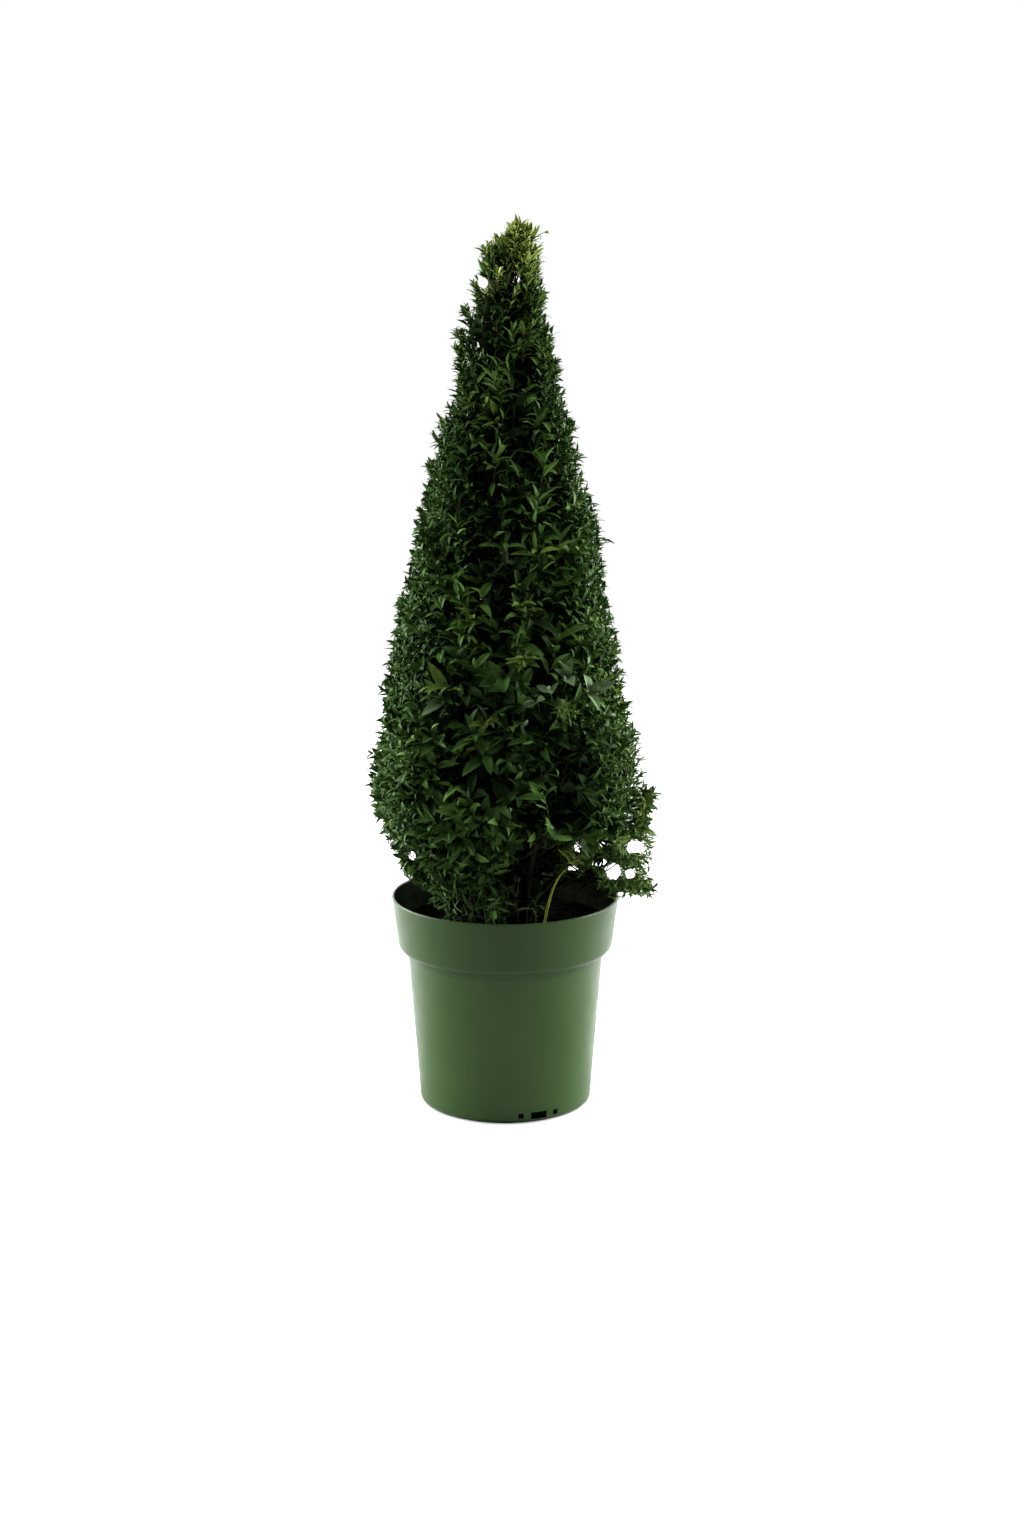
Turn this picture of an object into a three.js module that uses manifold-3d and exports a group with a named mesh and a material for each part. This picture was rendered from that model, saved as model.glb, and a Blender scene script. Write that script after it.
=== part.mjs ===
// Boxwood cone topiary: an evergreen shrub clipped to a tall cone, growing in a round nursery pot.
//
// Millimetres, +Z up. The origin is the centre of the pot's flat underside, and the front is -Y.
// The pot, the potting mix, the woody stems and the masses of foliage are separate solids. The
// foliage is closed and uneven here: each mass has the true outline of the leaves it stands for.
// Directions round the shrub are in degrees from +X towards +Y, so the front is at -90.

import * as THREE from 'three';
import { mergeVertices } from 'three/addons/utils/BufferGeometryUtils.js';
import Module from 'manifold-3d';

const wasm = await Module();
wasm.setup();

// ---- Driving dimensions -------------------------------------------------------------------

const GAP = 0.4; // kept between solids that touch
const POT = {
  height: 262,
  rimRadius: 140,
  rimRound: 1.4, // half the thickness of the rolled rim
  collarFoot: 193, // height of the step under the collar
  collarRound: 12, // radius of the collar's round lower edge
  bodyTopRadius: 120.5,
  footRadius: 105.5,
  footRound: 7,
  wall: 2,
  floor: 3,
};
const DRAINS = {
  groups: 3,
  firstGroup: -67, // direction of the group at the front
  slotWidth: 21,
  slotHeight: 9,
  slotBase: 4,
  sideHole: 6.5, // square holes on either side of each slot
  sideTurn: 12.5, // degrees from the slot to a square hole
  floorHoles: 6,
  floorHoleRadius: 6,
  floorHoleRing: 64,
};
const MIX = { top: 230, edgeDrop: 5, edgeWidth: 9 };
const CROWN = {
  foot: 262,
  top: 1085,
  leanX: 8, // how far the tip stands off the pot's axis
  leanStart: 600, // the axis is straight up to here
  // Height and radius of the clipped outline, from the hem to the tip.
  outline: [
    [262, 96], [284, 116], [330, 145], [385, 166], [430, 166], [520, 148], [620, 130],
    [720, 109], [820, 88], [900, 62], [1000, 41], [1055, 30], [1076, 18], [1085, 7],
  ],
};
const STEM = { radius: 11, tipRadius: 2.2, top: 1042, flare: 1.7, flareHeight: 26 };

// Bulges and dents of the outline: direction, height, reach, and how far each spreads.
const TUFTS = [
  { side: 180, height: 1064, reach: 8, spread: 13 },
  { side: 180, height: 1008, reach: 5, spread: 13 },
  { side: 180, height: 971, reach: 19, spread: 13 },
  { side: 180, height: 936, reach: 5, spread: 16 },
  { side: 180, height: 888, reach: -10, spread: 18 },
  { side: 180, height: 780, reach: -6, spread: 20 },
  { side: 180, height: 670, reach: 5, spread: 20 },
  { side: 186, height: 400, reach: 8, spread: 34 },
  { side: 184, height: 345, reach: -6, spread: 14 },
  { side: 184, height: 300, reach: 9, spread: 22 },
  { side: 0, height: 1068, reach: 6, spread: 10 },
  { side: 0, height: 1030, reach: -8, spread: 20 },
  { side: 0, height: 985, reach: -6, spread: 20 },
  { side: 0, height: 930, reach: -7, spread: 26 },
  { side: 0, height: 838, reach: 6, spread: 18 },
  { side: 0, height: 780, reach: -12, spread: 16 },
  { side: 0, height: 695, reach: 7, spread: 20 },
  { side: 0, height: 628, reach: -7, spread: 15 },
  { side: -4, height: 400, reach: 12, spread: 22 },
  { side: -2, height: 360, reach: 10, spread: 20 },
];
// Many small bulges more, dealt evenly round the crown; every third one is a dent.
const SCATTER = { tufts: 56, reach: 6, spread: 25, turn: 137.508, foot: 20, top: 60, dentEvery: 3 };
const RIPPLE = { reach: 2.2, share: 0.03 }; // fine waves all over, finer where the crown is narrow
const TUFT_WIDTH = 1.6; // a bulge is this much wider than it is high
const PEAK = { offX: 9, slope: 0.55, rise: 1 }; // the blunt end of the tip

const COLOURS = {
  plastic: 0x4d7045,
  mix: 0x1d1712,
  bark: 0x6b6044,
  youngBark: 0x8a9a45,
  leaf: 0x22381a,
  tipLeaf: 0x55702f,
};

// ---- Small helpers ------------------------------------------------------------------------

const radians = THREE.MathUtils.degToRad;
const lerp = THREE.MathUtils.lerp;

function finish(colour, roughness) {
  return new THREE.MeshStandardMaterial({ color: colour, roughness, metalness: 0 });
}

const FINISHES = {
  plastic: finish(COLOURS.plastic, 0.42),
  mix: finish(COLOURS.mix, 0.95),
  bark: finish(COLOURS.bark, 0.85),
  youngBark: finish(COLOURS.youngBark, 0.6),
  leaf: finish(COLOURS.leaf, 0.45),
  tipLeaf: finish(COLOURS.tipLeaf, 0.45),
};

// A closed three.js geometry as a manifold solid.
function solidOf(geometry) {
  const bare = geometry.clone();
  bare.deleteAttribute('normal');
  bare.deleteAttribute('uv');
  const merged = mergeVertices(bare, 1e-4);
  return new wasm.Manifold(new wasm.Mesh({
    numProp: 3,
    vertProperties: new Float32Array(merged.attributes.position.array),
    triVerts: new Uint32Array(merged.index.array),
  }));
}

function geometryOf(solid) {
  const mesh = solid.getMesh();
  const geometry = new THREE.BufferGeometry();
  geometry.setAttribute('position', new THREE.BufferAttribute(mesh.vertProperties, 3));
  geometry.setIndex(new THREE.BufferAttribute(mesh.triVerts, 1));
  return geometry;
}

function geometryFrom(points, faces) {
  const geometry = new THREE.BufferGeometry();
  geometry.setAttribute('position', new THREE.Float32BufferAttribute(points.flat(), 3));
  geometry.setIndex(faces.flat());
  return geometry;
}

// A skin over rings of points, each ring running anticlockwise seen from the skin's far end. The
// first and last rings are closed with a fan round their middle.
function skinOverRings(rings) {
  const count = rings[0].length;
  const points = rings.flat();
  const faces = [];
  for (let ring = 0; ring < rings.length - 1; ring += 1) {
    for (let i = 0; i < count; i += 1) {
      const here = ring * count + i;
      const next = ring * count + ((i + 1) % count);
      faces.push([here, next, next + count], [here, next + count, here + count]);
    }
  }
  const middle = (ring) => [0, 1, 2].map((k) => ring.reduce((sum, p) => sum + p[k], 0) / count);
  const foot = points.push(middle(rings[0])) - 1;
  const head = points.push(middle(rings.at(-1))) - 1;
  const last = (rings.length - 1) * count;
  for (let i = 0; i < count; i += 1) {
    const next = (i + 1) % count;
    faces.push([foot, next, i], [head, last + i, last + next]);
  }
  return geometryFrom(points, faces);
}

// ---- Pot ----------------------------------------------------------------------------------

const POT_SIDES = 44;

function potOutline() {
  const collarRadius = POT.bodyTopRadius + POT.collarRound;
  const path = new THREE.Path();
  path.moveTo(0, 0);
  path.lineTo(POT.footRadius - POT.footRound, 0);
  path.absarc(POT.footRadius - POT.footRound, POT.footRound, POT.footRound, -Math.PI / 2, 0);
  path.lineTo(POT.bodyTopRadius, POT.collarFoot);
  path.absarc(
    POT.bodyTopRadius, POT.collarFoot + POT.collarRound, POT.collarRound, -Math.PI / 2, 0,
  );
  path.lineTo(POT.rimRadius, POT.height - POT.rimRound);
  path.absarc(
    POT.rimRadius - POT.rimRound, POT.height - POT.rimRound, POT.rimRound, 0, Math.PI,
  );
  path.lineTo(collarRadius - POT.wall, POT.collarFoot + POT.collarRound);
  path.lineTo(POT.bodyTopRadius - POT.wall, POT.collarFoot + POT.wall);
  path.lineTo(POT.footRadius - POT.wall, POT.footRound);
  path.lineTo(POT.footRadius - POT.footRound, POT.floor);
  path.lineTo(0, POT.floor);
  return path.getPoints(2);
}

// A lathe about +Z from an outline of [radius, height] points that starts and ends on the axis.
function turned(outline, sides) {
  return new THREE.LatheGeometry(outline, sides).rotateX(Math.PI / 2);
}

// A box cut through the pot's wall, standing on a given height and facing one direction.
function wallCutter(direction, width, base, height) {
  const depth = 24;
  const box = new THREE.BoxGeometry(depth, width, height);
  box.translate(POT.footRadius, 0, base + height / 2);
  return solidOf(box.rotateZ(radians(direction)));
}

function floorCutter(direction) {
  const drill = new THREE.CylinderGeometry(
    DRAINS.floorHoleRadius, DRAINS.floorHoleRadius, 4 * POT.floor, 12,
  );
  drill.rotateX(Math.PI / 2).translate(DRAINS.floorHoleRing, 0, 0);
  return solidOf(drill.rotateZ(radians(direction)));
}

function pot() {
  let shell = solidOf(turned(potOutline(), POT_SIDES));
  for (let group = 0; group < DRAINS.groups; group += 1) {
    const direction = DRAINS.firstGroup + (group * 360) / DRAINS.groups;
    const hole = DRAINS.sideHole;
    shell = shell
      .subtract(wallCutter(direction, DRAINS.slotWidth, DRAINS.slotBase, DRAINS.slotHeight))
      .subtract(wallCutter(direction - DRAINS.sideTurn, hole, DRAINS.slotBase + 2, hole))
      .subtract(wallCutter(direction + DRAINS.sideTurn, hole, DRAINS.slotBase + 2, hole));
  }
  for (let hole = 0; hole < DRAINS.floorHoles; hole += 1) {
    shell = shell.subtract(floorCutter((hole * 360) / DRAINS.floorHoles));
  }
  return shell;
}

function pottingMix() {
  const inset = POT.wall + GAP;
  const outline = [
    [0, POT.floor + GAP],
    [POT.footRadius - POT.footRound - GAP, POT.floor + GAP],
    [POT.footRadius - inset, POT.footRound + GAP],
    [POT.bodyTopRadius - inset, POT.collarFoot + POT.wall + GAP],
    [POT.bodyTopRadius + POT.collarRound - inset, POT.collarFoot + POT.collarRound + GAP],
    [POT.bodyTopRadius + POT.collarRound - inset + 1, MIX.top - MIX.edgeDrop],
    [POT.bodyTopRadius + POT.collarRound - inset - MIX.edgeWidth, MIX.top],
    [0, MIX.top],
  ];
  return solidOf(turned(outline.map(([r, z]) => new THREE.Vector2(r, z)), POT_SIDES));
}

// ---- Woody stems --------------------------------------------------------------------------

// How far the shrub's axis stands off the pot's axis, in X, at a height.
function lean(height) {
  const share = Math.max(0, (height - CROWN.leanStart) / (CROWN.top - CROWN.leanStart));
  return CROWN.leanX * share * share;
}

// A limb along a curve that rises all the way, with level rings, so its foot is a flat cut. Its
// radius shrinks evenly, and spreads to flare times as much at the foot.
function limb({ curve, radius, tipRadius, flare = 1, flareHeight = 1, sides, steps, grow = 0 }) {
  const foot = curve.getPoint(0);
  const rings = [];
  for (let step = 0; step <= steps; step += 1) {
    const along = step / steps;
    const middle = curve.getPoint(along);
    const spread = 1 + (flare - 1) * Math.exp((foot.z - middle.z) / flareHeight);
    const size = lerp(radius, tipRadius, along) * spread + grow;
    rings.push(Array.from({ length: sides }, (_, i) => {
      const turn = (i / sides) * 2 * Math.PI;
      return [middle.x + size * Math.cos(turn), middle.y + size * Math.sin(turn), middle.z];
    }));
  }
  return solidOf(skinOverRings(rings));
}

const STEM_FOOT = MIX.top + GAP;

function mainStem(grow = 0) {
  const heights = [STEM_FOOT, 262, 330, 450, 600, 750, 900, STEM.top];
  const sway = [0, 1, 3, 0, -3, 1, 1, 0];
  const places = heights.map((z, i) => new THREE.Vector3(lean(z) + sway[i], -sway[i], z));
  return limb({
    curve: new THREE.CatmullRomCurve3(places),
    radius: STEM.radius,
    tipRadius: STEM.tipRadius,
    flare: STEM.flare,
    flareHeight: STEM.flareHeight,
    sides: 8,
    steps: 14,
    grow,
  });
}

// Side stems that rise from the mix and fan out into the hem of the crown. The foot and tip are
// given by direction, distance from the axis and height.
const SIDE_STEMS = {
  stem_front_left: { side: -122, out: 30, tipOut: 66, tipHeight: 318, radius: 5.2 },
  stem_front: { side: -97, out: 34, tipOut: 78, tipHeight: 306, radius: 3.4 },
  stem_left: { side: 176, out: 27, tipOut: 76, tipHeight: 322, radius: 5.6 },
  stem_back_left: { side: 122, out: 31, tipOut: 74, tipHeight: 324, radius: 4.8 },
  stem_back_right: { side: 58, out: 28, tipOut: 74, tipHeight: 326, radius: 5.4 },
  stem_front_right: { side: -48, out: 30, tipOut: 70, tipHeight: 372, radius: 5 },
};

function polar(side, out, height) {
  const turn = radians(side);
  return new THREE.Vector3(out * Math.cos(turn), out * Math.sin(turn), height);
}

function sideStem({ side, out, tipOut, tipHeight, radius }) {
  const foot = polar(side, out, STEM_FOOT);
  const tip = polar(side, tipOut, tipHeight);
  const bend = polar(side, lerp(out, tipOut, 0.3), lerp(STEM_FOOT, tipHeight, 0.6));
  return limb({
    curve: new THREE.QuadraticBezierCurve3(foot, bend, tip),
    radius,
    tipRadius: radius * 0.7,
    flare: 1.45,
    flareHeight: 9,
    sides: 7,
    steps: 6,
  });
}

// Low boughs on the right, each arching out to the loose spray that it carries.
const LOW_BOUGHS = {
  bough_right_low: { side: -12, out: 24, tipOut: 112, tipHeight: 292, radius: 4.2 },
  bough_right_back: { side: 16, out: 26, tipOut: 116, tipHeight: 302, radius: 4 },
  bough_left_low: { side: 204, out: 36, tipOut: 96, tipHeight: 288, radius: 3.4 },
  young_shoot: { side: -58, out: 86, tipOut: 106, tipHeight: 312, radius: 1.9, tipSide: -41 },
};

function lowBough({ side, out, tipOut, tipHeight, radius, tipSide = side }) {
  const foot = polar(side, out, STEM_FOOT);
  const tip = polar(tipSide, tipOut, tipHeight);
  const bend = polar(lerp(side, tipSide, 0.2), lerp(out, tipOut, 0.45), tipHeight);
  const curve = new THREE.QuadraticBezierCurve3(foot, bend, tip);
  tip.z += 4; // keeps the last ring above the one before it
  return limb({
    curve, radius, tipRadius: radius * 0.55, flare: 1.3, flareHeight: 7, sides: 7, steps: 8,
  });
}

// ---- Foliage ------------------------------------------------------------------------------

function outlineRadius(height) {
  const points = CROWN.outline;
  const above = points.findIndex(([z]) => z >= height);
  if (above <= 0) return above === 0 ? points[0][1] : points.at(-1)[1];
  const [lowZ, lowR] = points[above - 1];
  const [highZ, highR] = points[above];
  return lerp(lowR, highR, (height - lowZ) / (highZ - lowZ));
}

const SCATTERED = Array.from({ length: SCATTER.tufts }, (_, i) => ({
  side: i * SCATTER.turn,
  height: lerp(CROWN.foot + SCATTER.foot, CROWN.top - SCATTER.top, (i + 0.5) / SCATTER.tufts),
  reach: SCATTER.reach * (i % SCATTER.dentEvery === 0 ? -1 : 1),
  spread: SCATTER.spread,
}));

// The crown's uneven surface: its radius about the shrub's axis, in a direction at a height.
function crownRadius(side, height) {
  const base = outlineRadius(height);
  let radius = base;
  for (const tuft of [...TUFTS, ...SCATTERED]) {
    const turn = Math.abs(((side - tuft.side + 540) % 360 + 360) % 360 - 180);
    const across = (radians(turn) * base) / (TUFT_WIDTH * tuft.spread);
    const up = (height - tuft.height) / tuft.spread;
    radius += tuft.reach * Math.exp(-across * across - up * up);
  }
  const ripple = Math.sin(radians(5 * side + height)) + Math.sin(radians(9 * side - height));
  return radius + ripple * Math.min(RIPPLE.reach, base * RIPPLE.share);
}

const MASS_SIDES = 30;
const PILLOW = 5; // how far a mass draws in at its upper and lower edges
const CAP_RINGS = [0.4, 0.88]; // where the rings lie across a mass's upper and lower ends
const LEAST_RADIUS = 1.5;

// One tier of the crown between two wavy cuts. Each cut gives a height for a direction and for
// how far out it is, from 0 on the axis to 1 on the surface.
function tier({ low, high, layers, grow = 0 }) {
  const ringAt = (heightAt, share, pillow) => Array.from({ length: MASS_SIDES }, (_, i) => {
    const side = (i / MASS_SIDES) * 360;
    const z = heightAt(side);
    const radius = Math.max(LEAST_RADIUS, (crownRadius(side, z) - pillow) * share + grow);
    const turn = radians(side);
    return [lean(z) + radius * Math.cos(turn), radius * Math.sin(turn), z];
  });
  const rings = [];
  for (const share of CAP_RINGS) {
    rings.push(ringAt((side) => low(side, share) - grow, share, PILLOW));
  }
  for (let layer = 0; layer <= layers; layer += 1) {
    const up = layer / layers;
    const edge = PILLOW * Math.abs(2 * up - 1) ** 6;
    rings.push(ringAt((side) => lerp(low(side, 1) - grow, high(side, 1) + grow, up), 1, edge));
  }
  for (const share of CAP_RINGS.toReversed()) {
    rings.push(ringAt((side) => high(side, share) + grow, share, PILLOW));
  }
  return solidOf(skinOverRings(rings));
}

// A wavy cut across the crown. It falls by droop from the axis to the surface.
function cutAt(height, droop, wave, phase) {
  return (side, share) => height - droop * share + wave * share * Math.sin(radians(3 * side + phase));
}

function raised(cut, by) {
  return (side, share) => cut(side, share) + by;
}

// The hem hangs lowest at the front left, and is hollow underneath, round the stems.
function hem(height, hollow) {
  return (side, share) => height + hollow * (1 - share) ** 1.4 + 4 * share * Math.sin(radians(4 * side));
}

const CUTS = {
  overHem: cutAt(392, 10, 6, 20),
  overBelly: cutAt(530, 14, 7, 80),
  overWaist: cutAt(690, 14, 7, 150),
  overShoulder: cutAt(850, 10, 6, 40),
  underTip: cutAt(988, 6, 3, 0),
};

// The tip's upper end is a blunt peak, a little to the right of the axis.
function peak(side, share) {
  const reach = outlineRadius(CROWN.top - PILLOW) * 2 * share;
  const turn = radians(side);
  const off = Math.hypot(reach * Math.cos(turn) - PEAK.offX, reach * Math.sin(turn));
  return CROWN.top + PEAK.rise - PEAK.slope * off;
}

// An upright wedge between two directions, wide enough to reach past the crown.
function wedge(from, to) {
  const reach = 2.5 * POT.rimRadius;
  const inset = GAP / 2 / Math.sin(radians(Math.min(90, (to - from) / 2)));
  const middle = radians((from + to) / 2);
  const apex = new THREE.Vector2(inset * Math.cos(middle), inset * Math.sin(middle));
  const shape = new THREE.Shape([apex]);
  const steps = 6; // steps along the wedge's curved outer side
  for (let step = 0; step <= steps; step += 1) {
    const turn = radians(lerp(from, to, step / steps));
    shape.lineTo(apex.x + reach * Math.cos(turn), apex.y + reach * Math.sin(turn));
  }
  return solidOf(new THREE.ExtrudeGeometry(shape, { depth: CROWN.top + POT.height, bevelEnabled: false }));
}

// The masses from the hem to the tip. A mass with a sector takes only that part of its tier; the
// hem and belly leave a dark cleft open, right of the front.
const MASSES = {
  hem_left: { low: hem(266, 44), high: CUTS.overHem, layers: 4, sector: [160, 272] },
  hem_right: { low: hem(338, 26), high: CUTS.overHem, layers: 3, sector: [-62, 38] },
  hem_back: { low: hem(280, 36), high: CUTS.overHem, layers: 4, sector: [38, 160] },
  belly_left: { low: CUTS.overHem, high: CUTS.overBelly, layers: 4, sector: [150, 283] },
  belly_right: { low: CUTS.overHem, high: CUTS.overBelly, layers: 4, sector: [-70, 48] },
  belly_back: { low: CUTS.overHem, high: CUTS.overBelly, layers: 4, sector: [48, 150] },
  waist_front: { low: CUTS.overBelly, high: CUTS.overWaist, layers: 5, sector: [-172, 8] },
  waist_back: { low: CUTS.overBelly, high: CUTS.overWaist, layers: 5, sector: [8, 188] },
  shoulder: { low: CUTS.overWaist, high: CUTS.overShoulder, layers: 6 },
  neck: { low: CUTS.overShoulder, high: CUTS.underTip, layers: 5 },
  tip: { low: CUTS.underTip, high: peak, layers: 4 },
};

function mass({ low, high, layers, sector }, grow = 0) {
  const whole = tier({ low: raised(low, GAP / 2), high: raised(high, -GAP / 2), layers, grow });
  return sector ? whole.intersect(wedge(...sector)) : whole;
}

// Thin pads of loose shoots that hang outside the clipped outline, on the low boughs. A pad runs
// from its root to its tip, bowed upwards, flat and leaf-shaped in plan.
const SPRAYS = {
  spray_right_low: {
    root: [108, -26, 290], tip: [182, -36, 268], width: 66, thickness: 14, bow: 14,
  },
  spray_right_back: {
    root: [116, 36, 300], tip: [178, 44, 309], width: 54, thickness: 14, bow: 9,
  },
  spray_right_high: {
    root: [160, -13, 330], tip: [184, -18, 396], width: 42, thickness: 12, bow: 6,
  },
  spray_left_low: {
    root: [-92, -40, 280], tip: [-148, -52, 322], width: 46, thickness: 12, bow: -6,
  },
};

const PAD = { sides: 10, steps: 6, endWidth: 0.18, ragged: 0.12 };

function spray({ root, tip, width, thickness, bow }) {
  const start = new THREE.Vector3(...root);
  const end = new THREE.Vector3(...tip);
  const along = end.clone().sub(start).normalize();
  const across = new THREE.Vector3(0, 0, 1).cross(along).normalize();
  const up = along.clone().cross(across);
  const rings = [];
  for (let step = 0; step <= PAD.steps; step += 1) {
    const share = step / PAD.steps;
    const swell = lerp(PAD.endWidth, 1, Math.sin(Math.PI * (0.08 + 0.88 * share)) ** 0.8);
    const middle = start.clone().lerp(end, share).addScaledVector(up, bow * Math.sin(Math.PI * share));
    rings.push(Array.from({ length: PAD.sides }, (_, i) => {
      const turn = (i / PAD.sides) * 2 * Math.PI;
      const ragged = 1 + PAD.ragged * Math.sin(3 * turn + 2 * step);
      return middle.clone()
        .addScaledVector(across, (width / 2) * swell * ragged * Math.cos(turn))
        .addScaledVector(up, (thickness / 2) * swell * ragged * Math.sin(turn))
        .toArray();
    }));
  }
  return solidOf(skinOverRings(rings));
}

// ---- The object ---------------------------------------------------------------------------

const object = new THREE.Group();
object.name = 'boxwood_cone_topiary';

function place(name, solid, material) {
  const mesh = new THREE.Mesh(geometryOf(solid), material);
  mesh.name = name;
  object.add(mesh);
}

place('pot', pot(), FINISHES.plastic);
place('potting_mix', pottingMix(), FINISHES.mix);
place('main_stem', mainStem(), FINISHES.bark);

const stemRoom = mainStem(GAP);
const grownMasses = [];
for (const [name, shape] of Object.entries(MASSES)) {
  place(name, mass(shape).subtract(stemRoom), name === 'tip' ? FINISHES.tipLeaf : FINISHES.leaf);
  grownMasses.push(mass(shape, GAP));
}

const sprays = [];
for (const [name, shape] of Object.entries(SPRAYS)) {
  let pad = spray(shape);
  for (const grown of grownMasses) pad = pad.subtract(grown);
  place(name, pad, FINISHES.leaf);
  sprays.push(pad);
}

for (const [name, shape] of Object.entries({ ...SIDE_STEMS, ...LOW_BOUGHS })) {
  let wood = name in SIDE_STEMS ? sideStem(shape) : lowBough(shape);
  for (const other of [...grownMasses, ...sprays]) wood = wood.subtract(other);
  place(name, wood, name === 'young_shoot' ? FINISHES.youngBark : FINISHES.bark);
}

export default object;
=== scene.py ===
# %% [markdown]
# # A clipped boxwood cone in its nursery pot
#
# This lesson builds the looks of a boxwood shrub that is clipped to a tall cone, in a round
# green nursery pot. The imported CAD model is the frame: it says where the pot, the mix, the stems
# and the masses of foliage are. Each of those plain solids is replaced here by the real thing: a
# moulded pot, crumbly mix, stems with bark, and shoots with pairs of glossy leaves.
#
# The script is in metres, +Z is up, and the front of the plant faces -Y.

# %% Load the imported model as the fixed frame
import math

import bpy
import numpy as np
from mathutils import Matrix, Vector, noise


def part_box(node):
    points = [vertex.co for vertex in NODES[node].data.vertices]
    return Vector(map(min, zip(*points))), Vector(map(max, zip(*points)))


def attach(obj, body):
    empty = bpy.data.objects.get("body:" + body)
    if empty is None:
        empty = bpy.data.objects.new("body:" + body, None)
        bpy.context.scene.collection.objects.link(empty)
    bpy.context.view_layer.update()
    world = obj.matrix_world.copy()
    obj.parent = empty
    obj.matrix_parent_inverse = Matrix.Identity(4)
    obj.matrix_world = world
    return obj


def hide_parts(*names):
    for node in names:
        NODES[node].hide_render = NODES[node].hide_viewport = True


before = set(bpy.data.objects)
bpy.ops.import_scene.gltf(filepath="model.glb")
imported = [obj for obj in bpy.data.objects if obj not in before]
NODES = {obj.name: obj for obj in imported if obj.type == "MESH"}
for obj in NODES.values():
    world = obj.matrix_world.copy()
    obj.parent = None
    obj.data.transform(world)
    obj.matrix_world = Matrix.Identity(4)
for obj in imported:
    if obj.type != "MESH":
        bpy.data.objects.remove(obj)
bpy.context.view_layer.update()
MM = 0.001

# %% [markdown]
# An operator works on everything that is selected, and the frame arrives selected. So each piece
# starts by leaving edit mode and selecting nothing.


# %% Small helpers for working by operator
def start_clean():
    """Leaves edit mode and selects nothing."""
    if bpy.context.object and bpy.context.object.mode != "OBJECT":
        bpy.ops.object.mode_set(mode="OBJECT")
    bpy.ops.object.select_all(action="DESELECT")


def settle(piece, name):
    """Names a piece and puts its place into its mesh, so that its object sits at the origin."""
    start_clean()
    piece.select_set(True)
    bpy.context.view_layer.objects.active = piece
    bpy.ops.object.transform_apply(location=True, rotation=True, scale=True)
    piece.name = piece.data.name = name
    return piece


def apply_modifier(piece, kind, **settings):
    """Adds a modifier with these settings and applies it."""
    start_clean()
    piece.select_set(True)
    bpy.context.view_layer.objects.active = piece
    modifier = piece.modifiers.new(kind.lower(), kind)
    for key, value in settings.items():
        setattr(modifier, key, value)
    bpy.ops.object.modifier_apply(modifier=modifier.name)


def stands_for(piece, slot, *nodes):
    """The piece rides on the plant and replaces these solids, which are hidden. The slot is not used."""
    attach(piece, "root")
    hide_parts(*nodes)


def report(piece):
    """Prints how big a piece came out."""
    low = [min(v.co[k] for v in piece.data.vertices) for k in range(3)]
    high = [max(v.co[k] for v in piece.data.vertices) for k in range(3)]
    size = " x ".join(f"{(b - a) / MM:.0f}" for a, b in zip(low, high))
    print(f"{piece.name}: {size} mm, {len(piece.data.polygons)} faces")


# %% [markdown]
# The camera stands a little above the plant and looks slightly down, with a long lens, as for a
# catalogue picture.

# %% Camera
CAMERA_PLACE = (0.0082, -4.131, 1.388)
CAMERA_DIP = 0.2298  # radians below level
LENS = 81.3

start_clean()
bpy.ops.object.camera_add(location=CAMERA_PLACE, rotation=(math.pi / 2 - CAMERA_DIP, 0, 0))
camera = bpy.context.object
camera.name = "camera"
camera.data.lens = LENS
bpy.context.scene.camera = camera

# %% [markdown]
# The studio is a plain white floor in a bright, even room. A wide sun straight above keeps the
# floor white right across the picture. Large soft boxes stand on both sides and behind, and
# nothing bright stands in front, so the pot is darkest in its middle and bright at its edges.

# %% Studio: floor, room and soft lights
FLOOR_SIZE = 5
FLOOR_PALE = (0.5, 0.5, 0.5, 1)
AMBIENT = 0.06
TOP_LIGHT = 3.3
TOP_SOFTNESS = math.radians(70)
# Each soft box: place, width, height and watts. Each one faces the middle of the plant.
SOFT_BOXES = {
    "left_box": ((-2.0, 0.62, 0.85), 2.0, 1.7, 285),
    "right_box": ((2.0, 0.62, 0.85), 2.0, 1.7, 290),
    "back_box": ((0, 2.9, 0.9), 3.4, 1.8, 70),
}


def soft_box(name, place, width, height, watts):
    aim = Vector((0, 0, 0.5)) - Vector(place)
    bpy.ops.object.light_add(type="AREA", location=place, rotation=aim.to_track_quat("-Z", "Y").to_euler())
    lamp = bpy.context.object
    lamp.name = name
    lamp.data.shape = "RECTANGLE"
    lamp.data.size, lamp.data.size_y, lamp.data.energy = width, height, watts
    lamp.visible_camera = False


start_clean()
bpy.ops.mesh.primitive_plane_add(size=FLOOR_SIZE, location=(0, 0, 0))
floor = bpy.context.object
floor.name = "floor"
paper = bpy.data.materials.new("white paper")
paper.use_nodes = True
paper.node_tree.nodes["Principled BSDF"].inputs["Base Color"].default_value = FLOOR_PALE
paper.node_tree.nodes["Principled BSDF"].inputs["Roughness"].default_value = 0.9
paper.node_tree.nodes["Principled BSDF"].inputs["Specular IOR Level"].default_value = 0
floor.data.materials.append(paper)

for box_name, (place, width, height, watts) in SOFT_BOXES.items():
    soft_box(box_name, place, width, height, watts)
bpy.ops.object.light_add(type="SUN", location=(0, 0, 3))
top_light = bpy.context.object
top_light.name = "top_light"
top_light.data.energy = TOP_LIGHT
top_light.data.angle = TOP_SOFTNESS

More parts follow.
